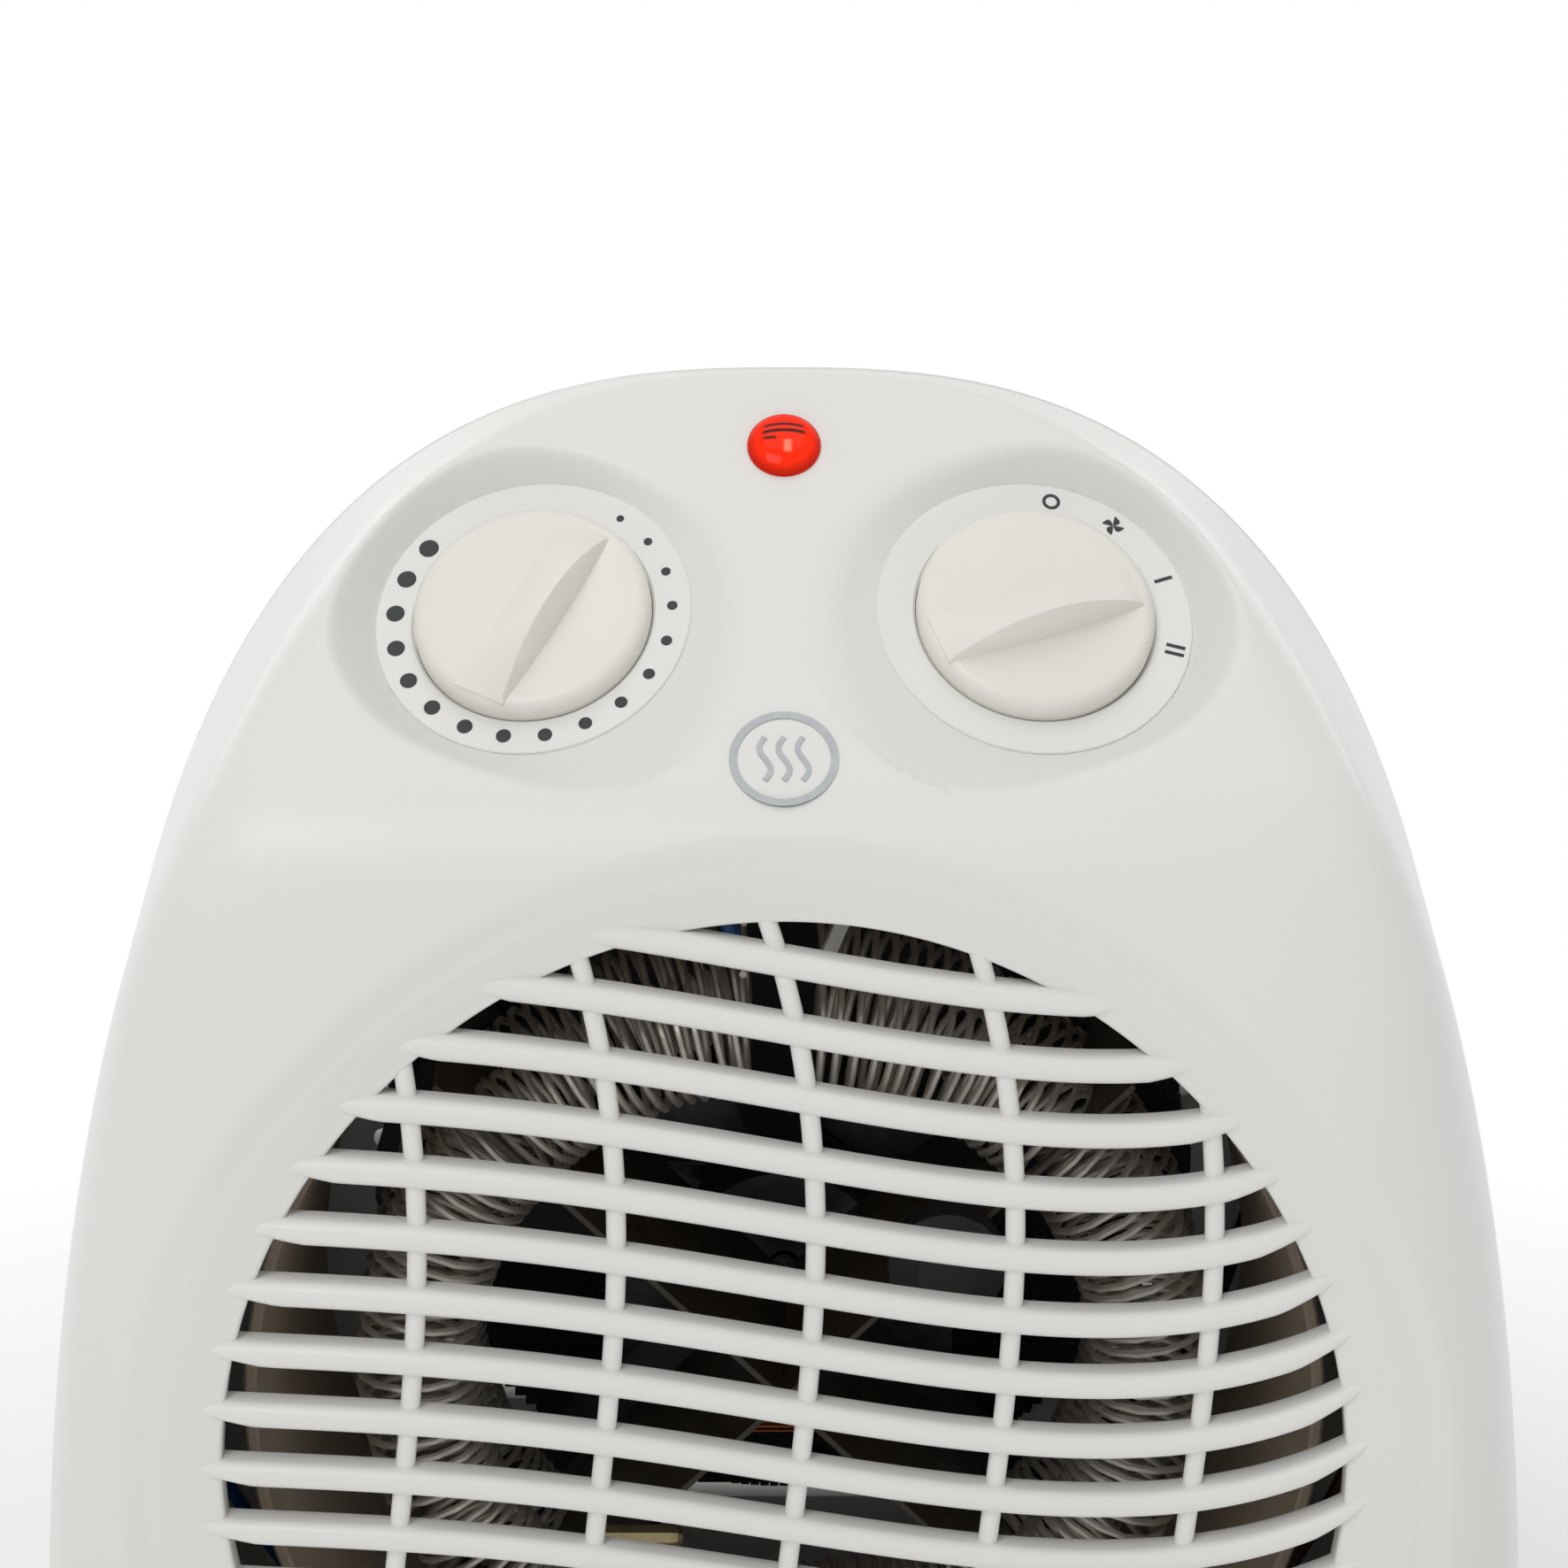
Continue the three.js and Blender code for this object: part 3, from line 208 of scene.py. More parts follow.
class Finish:
    """A material with one Principled shader, and the ways to add nodes to it."""

    def __init__(self, name, **uniform):
        self.material = bpy.data.materials.new(name)
        self.material.use_nodes = True
        self.tree = self.material.node_tree
        self.shader = self.tree.nodes["Principled BSDF"]
        self.set(**uniform)

    def set(self, **values):
        """Sets the shader's sockets: base_color=... is the socket Base Color. A field is linked to it."""
        for key, value in values.items():
            self.feed(self.shader.inputs[key.replace("_", " ").title().replace("Ior", "IOR")], value)

    def feed(self, socket, value):
        if isinstance(value, Field):
            self.tree.links.new(value.socket, socket)
        else:
            socket.default_value = value

    def node(self, kind, settings, *values, out=0, **named):
        """Adds a node: its settings first, then values or fields for its sockets, by place or by name."""
        made = self.tree.nodes.new("ShaderNode" + kind)
        for key, value in settings.items():
            setattr(made, key, value)
        for socket, value in zip(made.inputs, values):
            self.feed(socket, value)
        for key, value in named.items():
            self.feed(made.inputs[key], value)
        return Field(self, made.outputs[out])

    def maths(self, operation, *values):
        return self.node("Math", {"operation": operation}, *values)

    def ramp(self, field, low, high):
        """0 where the field is low, 1 where it is high and a straight line between; low may be the larger."""
        return self.node("MapRange", {}, field, low, high, 0.0, 1.0)

    def place(self, kind="Object"):
        """The point on the surface: Object coordinates in metres, or the piece's UV map."""
        return self.node("TexCoord", {}, out=kind)

    def split(self, kind="Object"):
        """The x, y and z of the point on the surface, as a field each."""
        parts = self.node("SeparateXYZ", {}, self.place(kind)).socket.node.outputs
        return [Field(self, part) for part in parts]

    def noise(self, size, detail):
        """Cloudy noise whose lumps are about size millimetres across."""
        return self.node("TexNoise", {}, out="Fac", Vector=self.place(), Scale=1 / (size * MM), Detail=detail)

    def mixed(self, share, first, second):
        """first where share is 0 and second where it is 1: two colours, or fields of colour."""
        made = self.tree.nodes.new("ShaderNodeMix")
        made.data_type = "RGBA"
        for socket, value in zip([made.inputs[0], made.inputs[6], made.inputs[7]], [share, first, second]):
            self.feed(socket, value)
        return Field(self, made.outputs[2])

    def bump(self, height, depth):
        """A normal that follows a height field; depth is in millimetres for a height of 1."""
        return self.node("Bump", {}, out="Normal", Strength=1.0, Distance=depth * MM, Height=height)


def tint(hex_code, alpha=1.0):
    """A colour as painters write it, in hex, worked out as the linear numbers that a shader wants."""
    parts = [int(hex_code[i:i + 2], 16) / 255 for i in (0, 2, 4)]
    return tuple(c / 12.92 if c <= 0.04045 else ((c + 0.055) / 1.055) ** 2.4 for c in parts) + (alpha,)


def plain_finish(name, tones, lump, rough, uneven, fine, depth, **uniform):
    """A finish whose colour drifts between two tones, whose roughness is rough plus a share of a noise, and
    whose grain is depth millimetres deep. lump, fine and the end of uneven are noises: size and detail."""
    f = Finish(name, **uniform)
    f.set(base_color=f.mixed(f.noise(*lump), tint(tones[0]), tint(tones[1])))
    f.set(roughness=rough + uneven[0] * f.noise(*uneven[1:]), normal=f.bump(f.noise(*fine), depth))
    return f.material


print("casing white as numbers:", [round(c, 3) for c in tint("e8e8e4")])

# %% [markdown]
# The casing is a white moulding with a low sheen. Under a lamp such plastic is never quite even: the polished
# face has a faint orange peel, while the sunk ring round the outlet and the wells of the dials keep the fine
# grain of their mould. A mesh attribute says where the grain is. There the colour is also darker, as
# painted shade in these recesses, so one finish serves the whole cover.

# %% White casing plastic
def casing_plastic():
    f = Finish("casing_white_plastic", specular_ior_level=0.35, ior=1.46)
    grain_and_shade = f.node("Attribute", {"attribute_name": "grain_and_shade"}, out="Fac")
    cloud = f.noise(38, 3)
    fine = f.noise(0.42, 3)
    peel = f.noise(2.6, 2)
    scuff = f.ramp(f.noise(9, 6), 0.62, 0.78)
    polished = f.mixed(cloud, tint("e9e9e6"), tint("edecea"))
    # painted shade: this tone is darker than the polished one, so the sunk ring and the wells look shaded
    grained_painted_shade = f.mixed(cloud, tint("dddcd8"), tint("e2e1dd"))
    f.set(base_color=f.mixed(grain_and_shade, polished, grained_painted_shade))
    f.set(roughness=0.30 + 0.05 * cloud + 0.20 * grain_and_shade + 0.05 * fine * grain_and_shade + 0.05 * scuff)
    f.set(normal=f.bump(fine * (0.12 + 0.88 * grain_and_shade) + peel * (1 - grain_and_shade) * 0.8, 0.011))
    return f.material


casing_white = casing_plastic()
print("finish:", casing_white.name)

# %% [markdown]
# A few more small tools: one writes a number per point, which a finish can read as an attribute, one writes a
# flat map of the piece, and one stands a frame of axes anywhere, so that a knob can be shaped lying flat at
# the origin and then be put on its slanted panel.

# %% Attributes, maps and places
def mark(piece, name, values):
    """Writes one number per point of the piece, for an Attribute node of that name."""
    layer = piece.data.attributes.new(name, "FLOAT", "POINT")
    layer.data.foreach_set("value", np.asarray(values, np.float32))


def lay_map(piece, across, along):
    """Gives the piece a UV map from two numbers per point."""
    layer = piece.data.uv_layers.new(name="UVMap")
    corner = np.empty(len(piece.data.loops), np.int32)
    piece.data.loops.foreach_get("vertex_index", corner)
    uv = np.stack([across[corner], along[corner]], axis=-1)
    layer.data.foreach_set("uv", uv.astype(np.float32).ravel())


def axes(origin, right, up, normal):
    """The 4 x 4 matrix that puts local x, y and z along right, up and normal, from origin, in millimetres."""
    made = np.eye(4)
    made[:3, 0], made[:3, 1], made[:3, 2], made[:3, 3] = right, up, normal, origin
    return made


def to_rear(x, y, z):
    """Stands a turned shape so that its axis runs to the rear from the point."""
    return axes((x, y, z), (-1, 0, 0), (0, 0, 1), (0, 1, 0))


def flat_turn(degrees):
    """The 2 x 2 matrix of a clockwise turn."""
    a = math.radians(-degrees)
    return np.array([[math.cos(a), -math.sin(a)], [math.sin(a), math.cos(a)]])


def turned_by(degrees):
    """A clockwise turn about the local z axis, seen from its tip."""
    made = np.eye(4)
    made[:2, :2] = flat_turn(degrees)
    return made


def moved(x, y):
    """A level move."""
    made = np.eye(4)
    made[:2, 3] = x, y
    return made


def box_mm(node):
    """Lowest and highest corner of a node of the engineering model, in millimetres."""
    return [np.array(corner) * 1000 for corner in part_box(node)]


def smooth(x, low=0.0, high=1.0):
    """0 below low, 1 above high and the curve 3t^2 - 2t^3 between them."""
    t = np.clip((x - low) / (high - low), 0, 1)
    return t * t * (3 - 2 * t)


# %% [markdown]
# The casing's sizes come from the engineering model: its box gives width, height and depth, the fan's axis is
# the middle of the outlet, and each knob's axis gives the place and the lean of its dial. GAP is the seam
# between the two covers, WALL the thickness of their plastic and RADIUS that of the outlet's opening.

# %% Measure the frame
front_low, front_high = box_mm("front_cover")
GAP, WALL, RADIUS = 0.3, 2.4, 75.0
FRONT, SPLIT, REAR = front_low[1], front_high[1] + GAP / 2, box_mm("rear_cover")[1][1]
BASE = front_low[2]
HALF, HEIGHT = (front_high[0] - front_low[0]) / 2, front_high[2] - front_low[2]
DEPTH = SPLIT - FRONT
joints = {joint["name"]: joint for joint in frame["joints"]}
OUTLET = joints["fan_spin"]["pos_m"][2] * 1000


def dial_axes(joint):
    """Axes of a dial: z out of the panel, x level and y up the slope."""
    normal = -np.array(joint["axis"], float)
    normal /= np.linalg.norm(normal)
    right = np.array([1.0, 0, 0]) - normal * normal[0]
    right /= np.linalg.norm(right)
    return axes(np.array(joint["pos_m"]) * 1000, right, np.cross(normal, right), normal)


left_dial, right_dial = dial_axes(joints["thermostat_turn"]), dial_axes(joints["mode_turn"])
LEAN = math.atan2(left_dial[2, 2], -left_dial[1, 2])
print("casing, mm:", [round(float(v), 1) for v in (2 * HALF, DEPTH, HEIGHT)],
      "panel leans", round(math.degrees(LEAN), 1), "degrees")

# %% [markdown]
# The front of the casing is one soft form with four rules. Seen from the front, its outline is an arch. Seen
# from the side, it rises upright, leans back on a long radius, turns over a brow and runs straight up the
# panel to a small round edge. Every level section is a rounded rectangle, softer low down and crisper beside
# the panel. Writing these as functions of height lets any number of points lie on exactly one surface.

# %% The form of the casing
ARCH_ACROSS, ARCH_UP = 2.65, 3.2
LEAN_FROM, LEAN_RADIUS = 96.0, 312.0
BROW, BROW_RADIUS, CROWN_RADIUS, TOE_RADIUS = 192.0, 27.0, 4.4, 2.5


def half_width(h):
    """Half width at a height: HALF (1 - (h/HEIGHT)^3.2)^(1/2.65)."""
    return HALF * (1 - np.clip(h / HEIGHT, 0, 1) ** ARCH_UP) ** (1 / ARCH_ACROSS)


def middle_depth(h):
    """Depth of the middle line behind the front: upright, a long arc, a tight arc, a slope, a round edge."""
    brow = math.asin((BROW - LEAN_FROM) / LEAN_RADIUS)
    brow_depth = LEAN_RADIUS * (1 - math.cos(brow))
    panel = BROW + BROW_RADIUS * (math.sin(LEAN) - math.sin(brow))
    panel_depth = brow_depth + BROW_RADIUS * (math.cos(brow) - math.cos(LEAN))
    long_arc = LEAN_RADIUS * (1 - np.sqrt(1 - np.clip((h - LEAN_FROM) / LEAN_RADIUS, 0, 0.9) ** 2))
    rise = np.clip(math.sin(brow) + (h - BROW) / BROW_RADIUS, 0, math.sin(LEAN))
    tight_arc = brow_depth + BROW_RADIUS * (math.cos(brow) - np.sqrt(1 - rise ** 2))
    slope = panel_depth + (h - panel) * math.tan(LEAN)
    turn = math.pi / 2 - LEAN
    edge = panel_depth + (HEIGHT - panel) * math.tan(LEAN) + CROWN_RADIUS * math.tan(turn / 2)
    fall = np.clip(h - HEIGHT + CROWN_RADIUS, 0, CROWN_RADIUS)
    crown = edge - np.sqrt(CROWN_RADIUS ** 2 - fall ** 2)
    depth = np.where(h < BROW, long_arc, np.where(h < panel, tight_arc, slope))
    depth = np.where(h > HEIGHT - CROWN_RADIUS * (1 - math.cos(turn)), crown, depth)
    toe = np.clip(TOE_RADIUS - h, 0, TOE_RADIUS)
    return depth + TOE_RADIUS - np.sqrt(TOE_RADIUS ** 2 - toe ** 2)


def front_depth(x, h, share=None):
    """Depth at x: middle + (side - middle) (1 - (1 - s^p)^(1/p)), with s the share of the half width."""
    middle = middle_depth(h)
    change = smooth(h, 150, 215)
    power = 5 + 5 * change
    side = np.minimum(middle + 45 - 21 * change, DEPTH - 1)
    if share is None:
        share = np.clip(np.abs(x) / np.maximum(half_width(h), 1e-3), 0, 1)
    return middle + (side - middle) * (1 - (1 - share ** power) ** (1 / power))


def front_y(x, z):
    return FRONT + front_depth(x, z - BASE)


print("depth of the panel's foot and top, mm:", np.round(middle_depth(np.array([205.0, 243.0])), 1))

# %% [markdown]
# The front cover is laid out like a spider's web round the outlet. Its spokes are closer where the two dials
# and the lamp sit, and its rings run from the seam, round the edge, over the front, down the soft step of the
# sunk ring and into the opening. The wells of the dials are pressed in afterwards: each point above a cone
# moves down onto it along the dial's axis, and a smooth minimum rounds the rim as a mould would.

# %% Spokes, outline and the edge of the sunk ring
corner = math.degrees(math.atan2(BASE - OUTLET, HALF))
stops = [-90, corner, 0, 50, 60, 86, 94, 120, 130, 180, 180 - corner, 270]
spokes = [26, 30, 40, 16, 84, 34, 84, 16, 40, 30, 26]
angle = np.radians(np.concatenate([np.linspace(a, b, n, endpoint=False)
                                   for a, b, n in zip(stops, stops[1:], spokes)]))
cosine, sine = np.cos(angle), np.sin(angle)


def outline_radius():
    """Distance from the outlet's middle to the outline, by halving steps until both meet."""
    low, high = np.zeros_like(angle), np.full_like(angle, 300.0)
    for _ in range(60):
        r = (low + high) / 2
        h = OUTLET + r * sine - BASE
        arch = np.abs(r * cosine / HALF) ** ARCH_ACROSS + np.clip(h / HEIGHT, 0, 9) ** ARCH_UP
        inside = (arch < 1) & (h > 0)
        low, high = np.where(inside, r, low), np.where(inside, high, r)
    return low


def ring_edge(angles):
    """Edge of the sunk ring: (|c|/90)^p + (|s|/reach)^p = 1, an arch above and a squarer shape below."""
    c, s = np.cos(angles), np.sin(angles)
    reach = np.where(s >= 0, 88.0, OUTLET - BASE - 12)
    power = np.where(s >= 0, 1.93, 4.0)
    return ((np.abs(c) / 90) ** power + (np.abs(s) / reach) ** power) ** (-1 / power)


rim, dish = outline_radius(), ring_edge(angle)
print(len(angle), "spokes; outline from", round(rim.min(), 1), "to", round(rim.max(), 1), "mm")

# %% The front cover's grid
STEP_WIDTH, STEP_DROP = 6, 2.0
MOUTH_DROP, MOUTH_ROUND = 2.9, 0.9


def ring_at(radius, sink=0.0, share=None):
    """One ring of points on the front's surface, sunk by some millimetres."""
    x, h = radius * cosine, OUTLET + radius * sine - BASE
    depth = np.minimum(front_depth(x, h, share) + sink, DEPTH - GAP / 2)
    return grid_of(x, FRONT + depth, h + BASE)


def wall_ring(inset, y):
    """One ring of the side wall, inset from the outline, at a depth of its own."""
    scale = (rim - inset) / rim
    return grid_of(rim * scale * cosine, y, OUTLET + rim * scale * sine)


def outer_rings():
    """The outside of the shell, from the seam inwards: edge, front, step, sunk ring and the rounded mouth."""
    front_edge = ring_at(rim, share=np.ones_like(rim))[:, 1]
    seam = SPLIT - GAP / 2
    start = seam - 0.4
    rings = [wall_ring(0.6, seam), wall_ring(0.15, seam - 0.12), wall_ring(0, start)]
    rings += [wall_ring(0, start + (front_edge - seam + 0.4) * s) for s in np.linspace(0.25, 1, 4) ** 0.8]
    for t in np.concatenate([1 - 0.25 * np.linspace(0.05, 1, 28) ** 3, np.linspace(0.75, 0, 78)[1:]]):
        rings.append(ring_at(dish + (rim - dish) * t))
    for s in np.linspace(0, 1, 15)[1:]:
        rings.append(ring_at(dish - STEP_WIDTH * s, STEP_DROP * smooth(s)))
    mouth, foot = RADIUS + MOUTH_ROUND, dish - STEP_WIDTH
    for s in np.linspace(0, 1, 9)[1:]:
        rings.append(ring_at(foot + (mouth - foot) * s, STEP_DROP + MOUTH_DROP * s))
    for a in np.linspace(0, math.pi / 2, 6)[1:]:
        drop = STEP_DROP + MOUTH_DROP + MOUTH_ROUND * (1 - math.cos(a))
        rings.append(ring_at(np.full_like(rim, mouth - MOUTH_ROUND * math.sin(a)), drop))
    rings.append(ring_at(np.full_like(rim, RADIUS), 9.5))
    return np.array(rings)


def smooth_min(a, b, k):
    """The smaller of two numbers, with the crease between them rounded over about k."""
    blend = np.clip(0.5 + 0.5 * (b - a) / k, 0, 1)
    return b + (a - b) * blend - k * blend * (1 - blend)


def press_well(points, matrix, floor_of, k, reach):
    """Moves points that stand above floor_of(across, along), near the axis, down onto it along the axis."""
    offset = points - matrix[:3, 3]
    across, along, height = (offset @ matrix[:3, i] for i in range(3))
    radius = np.hypot(across, along)
    target = smooth_min(height, floor_of(across, along), k)
    drop = np.where((radius < reach) & (height > -12), height - target, 0)
    return points - drop[..., None] * matrix[:3, 2]


def well_floor(outer_side):
    """The well's floor: low under the ring, then a wall that rises outside it. The wall is steep on the side
    away from the heater's middle, and lies back to about 10 across for 1 up on the inner side."""
    def floor(across, along):
        radius = np.hypot(across, along)
        toward = (0.94 * outer_side * across + 0.34 * along) / np.maximum(radius, 1e-6)
        run = 0.85 + 9 * np.clip((0.6 - toward) / 1.6, 0, 1) ** 4.4
        return np.where(radius < 19.5, -3.4, np.maximum(-0.6, (radius - 21.35) / run - 0.3))
    return floor


flush = outer_rings()
outer = flush
for dial, outer_side in ((left_dial, -1), (right_dial, 1)):
    outer = press_well(outer, dial, well_floor(outer_side), 0.9, 32)
print("outer rings:", outer.shape[:2])

# %% [markdown]
# The lamp's flange lies on the panel's middle line, and the round mark lies below it on the same slope. Each
# gets axes of its own there: the mark's height comes from its box in the engineering model, and the lamp's is
# a fixed rise above the outlet.

# %% Axes of the lamp and the round mark
slope_up = np.array([0, math.sin(LEAN), math.cos(LEAN)])
slope_out = np.array([0, -math.cos(LEAN), math.sin(LEAN)])


def panel_axes(z):
    """Axes on the panel's middle line at a height."""
    return axes((0, front_y(np.array(0.0), np.array(z)), z), (1, 0, 0), slope_up, slope_out)


mark_low, mark_high = box_mm("badge")
lamp_axes = panel_axes(OUTLET + 125.2)
mark_axes = panel_axes((mark_low[2] + mark_high[2]) / 2 - 0.45 * slope_out[2])
print("lamp and mark at heights, mm:", round(lamp_axes[2, 3], 1), round(mark_axes[2, 3], 1))

# %% Close the front cover
def inner_rings():
    """The inside of the shell: rings inset from the outline and set back, deeper behind the dials' wells."""
    seam = SPLIT - GAP / 2
    k = (rim - 2.6) / rim
    edge_depth = ring_at(rim, share=np.ones_like(rim))[:, 1] + 1
    rings = [ring_at(np.full_like(rim, RADIUS + 2.2), 9.5)]
    for t in np.linspace(0, 1, 22)[1:-1]:
        radius = RADIUS + 4 + (rim * k - RADIUS - 4) * t
        rows = ring_at(radius, 9.0)
        rows[:, 1] = np.minimum(rows[:, 1] + 5 * smooth(rows[:, 2], 190, 205), seam)
        rings.append(rows)
    for s in (0, 0.5, 1):
        y = np.minimum(edge_depth + 9, seam - 0.5) * (1 - s) + seam * s
        rings.append(wall_ring(WALL, y))
    return np.array(rings)


front_grid = np.concatenate([outer, inner_rings()])
casing_front = add_piece("casing_front", [skin(front_grid, wrap_rows=True)], casing_white,
                         stands_for=("front_cover",), crease=40)
front_points = front_grid.reshape(-1, 3)
from_middle = np.hypot(front_points[:, 0], front_points[:, 2] - OUTLET)
dish_there = ring_edge(np.arctan2(front_points[:, 2] - OUTLET, front_points[:, 0]))
# Grain, and painted shade as a darker colour: faint over the sunk ring, stronger on the dials' wells
dish_grain_and_shade = 0.15 * smooth(from_middle, dish_there, dish_there - 4.5)
pressed = np.linalg.norm(outer - flush, axis=-1).ravel()
well_grain_and_shade = 0.5 * np.concatenate([smooth(pressed, 0.0, 1.1), np.zeros(len(front_points) - len(pressed))])
mark(casing_front, "grain_and_shade", np.maximum(dish_grain_and_shade, well_grain_and_shade))

# %% [markdown]
# The grille is a sheet of slim bars that roll like a wave. All of them are the same curve, one pitch apart,
# and each has a round front edge. They stand a little proud of the sunk ring's lip, so they end on it like
# blades.
# Behind them, five upright ribs sway gently and hold the bars.

# The grille
BAR_WAVE, BAR_TOP, BAR_PITCH, BAR_HALF, BAR_SINK = (13.1, -0.5, -10, -3.4), 69.8, 8.52, 1.85, 3.8
RIB_WAVE, RIB_MIDDLE, RIB_PITCH, RIB_HALF, RIB_SINK = (8, -3, -7.5, -1.7), 1.95, 26.3, 1.32, 5.2


def wave(terms, s):
    """Sum of each term times a power of s, from the first power up."""
    return sum(term * s ** (i + 1) for i, term in enumerate(terms))


def rounded_section(half, depth, count=9):
    """A D shape: (rise, depth) points round its front edge, then back along its flat sides."""
    a = np.linspace(-math.pi / 2, math.pi / 2, count)
    front = np.stack([half * np.sin(a), half * 0.9 * (1 - np.cos(a))], axis=-1)
    return np.concatenate([[[-half * 0.8, depth]], front, [[half * 0.8, depth]]])


def bar(rise, steps=100):
    """A bar follows z = rise - wave(x), 3.8 below the casing's surface, and sinks and thins to a blade at
    each end: its half height is 1.85 (0.1 + 0.9 t^0.7), where t grows from 0 at the tip to 1 in 12 mm."""
    line = np.linspace(-84, 84, 1601)
    drop = OUTLET + rise - wave(BAR_WAVE, line / RADIUS)
    within = line[np.hypot(line, drop - OUTLET) < RADIUS + 8.0]
    if len(within) < 2:
        return None
    x = np.linspace(within[0], within[-1], steps)
    z = OUTLET + rise - wave(BAR_WAVE, x / RADIUS)
    share = np.clip(np.minimum(x - within[0], within[-1] - x) / 12.0, 0, 1)
    thin = 0.1 + 0.9 * share ** 0.7
    section = rounded_section(BAR_HALF, 5.0)
    y = front_y(x, z) + BAR_SINK + 1.1 * (1 - share) ** 2
    return skin(grid_of(x[:, None], y[:, None] + section[:, 1],
                        (z + 1.3 * (1 - thin))[:, None] + section[:, 0] * thin[:, None]))


def rib(side, steps=60):
    """A rib follows x = side + wave(h)."""
    h = np.linspace(-1, 1, steps) * (math.sqrt(RADIUS ** 2 - side ** 2) + 2.5)
    x = side + wave(RIB_WAVE, h / RADIUS)
    section = rounded_section(RIB_HALF, 3.4)
    y = front_y(x, OUTLET + h)[:, None] + RIB_SINK + section[:, 1]
    return skin(grid_of(x[:, None] + section[:, 0], y, OUTLET + h[:, None]))


bars = [made for made in (bar(BAR_TOP - BAR_PITCH * i) for i in range(18)) if made is not None]
ribs = [rib(RIB_MIDDLE + RIB_PITCH * j) for j in range(-2, 3)]
add_piece("grille_bars", bars, casing_white, crease=50)
add_piece("grille_ribs", ribs, casing_white, crease=50)
print(len(bars), "bars")

# %% [markdown]
# Each dial is a flat ring at the bottom of its well, with a round seat in its middle for the knob. The marks
# are printed: seventeen dots that grow round the thermostat, and four plain signs round the switch, for off,
# fan alone, first and second heat. They are thin films lying on the ring.

# %% Dial rings
def dial_ring():
    """Profile of the ring: bottom, outer edge, flat top, a rounded lip and the seat's wall and floor."""
    return [(4.6, -3.3), (21.3, -3.3), (21.3, -0.12), (21.15, 0.0), (16.7, 0.0), (16.45, -0.06),
            (16.35, -0.3), (16.1, -0.5), (16.1, -2.2), (4.6, -2.2)]


for name, dial in (("thermostat_dial", left_dial), ("mode_dial", right_dial)):
    add_piece(name, [placed(hollow(dial_ring(), 160), dial)], casing_white)

# %% Printing ink
def ink():
    """Black print: nearly flat, a shade lighter where the film is thin."""
    f = Finish("printed_ink", roughness=0.45, specular_ior_level=0.4)
    f.set(base_color=f.mixed(f.noise(0.6, 3), tint("17191a"), tint("25282a")))
    f.set(normal=f.bump(f.noise(0.15, 2), 0.004))
    return f.material


black_ink = ink()
FILM = 0.06


def film(outline):
    """A flat shape just above the dial, from its outline of (x, y) points."""
    x, y = np.array(outline, float).T
    return skin(grid_of(x, y, np.array([[0.004], [FILM]])))


def disc_outline(x, y, r, count=28):
    a = even_turn(count)
    return np.stack([x + r * np.cos(a), y + r * np.sin(a)], axis=-1)


def at_clock(degrees, radius):
    """Point on a dial at clockwise degrees from straight up the slope."""
    return radius * math.sin(math.radians(degrees)), radius * math.cos(math.radians(degrees))


def dot(i, first=38.0, pitch=16.98, last=16):
    """Dot i of the thermostat's row, round the ring's middle line; its radius grows from 0.52 to 1.35."""
    return film(disc_outline(*at_clock(first + pitch * i, 18.75), 0.52 + 0.83 * (i / last) ** 0.9))


add_piece("thermostat_marks", [placed(dot(i), left_dial) for i in range(17)], black_ink)

# %% Signs round the switch
def upright(x, y, turn, shape):
    """Moves an outline of points to (x, y), turned clockwise."""
    return np.asarray(shape) @ flat_turn(turn).T + (x, y)


def stroke(length, width=0.5):
    """A short line with square ends, as four corners."""
    x, y = width / 2, length / 2
    return [(-x, -y), (x, -y), (x, y), (-x, y)]


def blade(turn):
    """One blade of the fan sign: a petal x = 0.75 sin(pi t^0.9) + 0.12 t, y = 1.5 t, turned."""
    t = np.linspace(0.05, 1, 12)
    right_side = np.stack([0.75 * np.sin(np.pi * t ** 0.9) + 0.12 * t, 1.5 * t], axis=-1)
    left_side = np.stack([-0.05 * np.sin(np.pi * t), 1.5 * t], axis=-1)[::-1]
    return upright(0, 0, turn, np.concatenate([right_side, left_side]))


def zero_sign():
    """A small ring, as a closed band between two circles."""
    grid = np.empty((4, 40, 3))
    for row, (r, z) in enumerate([(1.22, 0.004), (1.22, FILM), (0.78, FILM), (0.78, 0.004)]):
        grid[row, :, :2] = disc_outline(0, 0, r, 40)
        grid[row, :, 2] = z
    return skin(grid, wrap_rows=True)


OFF, FAN_ALONE, FIRST, SECOND = 8.0, 35.6, 67.6, 101.7
signs = [placed(zero_sign(), moved(*at_clock(OFF, 18.8)))]
signs += [film(blade(k * 90 + 10) + at_clock(FAN_ALONE, 18.9)) for k in range(4)]
second, across = np.array(at_clock(SECOND, 19.2)), np.array(at_clock(SECOND + 90, 0.58))
for turn, spot in ((FIRST, at_clock(FIRST, 19.0)), (SECOND, second + across), (SECOND, second - across)):
    signs.append(film(upright(*spot, turn, stroke(2.6))))
add_piece("mode_marks", [placed(sign, right_dial) for sign in signs], black_ink)

# %% [markdown]
# The knobs are creamier than the casing. Each is a low disc with a rounded rim and one finger ridge that is
# ruled like a folded sheet: it rises in a straight slope from a crease to an arched crest, and drops off
# steeply on the other side. The lengthwise arch is a parabola, which is close to the arc of the real one.

# %% Knobs
def knob_plastic():
    f = Finish("knob_cream_plastic", specular_ior_level=0.5, ior=1.48)
    cloud = f.noise(14, 3)
    fine = f.noise(0.35, 3)
    handled = f.ramp(f.noise(5, 5), 0.55, 0.75)
    f.set(base_color=f.mixed(cloud, tint("e9e7df"), tint("edebe3")))
    f.set(roughness=0.34 + 0.06 * cloud + 0.05 * handled)
    f.set(normal=f.bump(fine + handled * 0.3, 0.006))
    return f.material


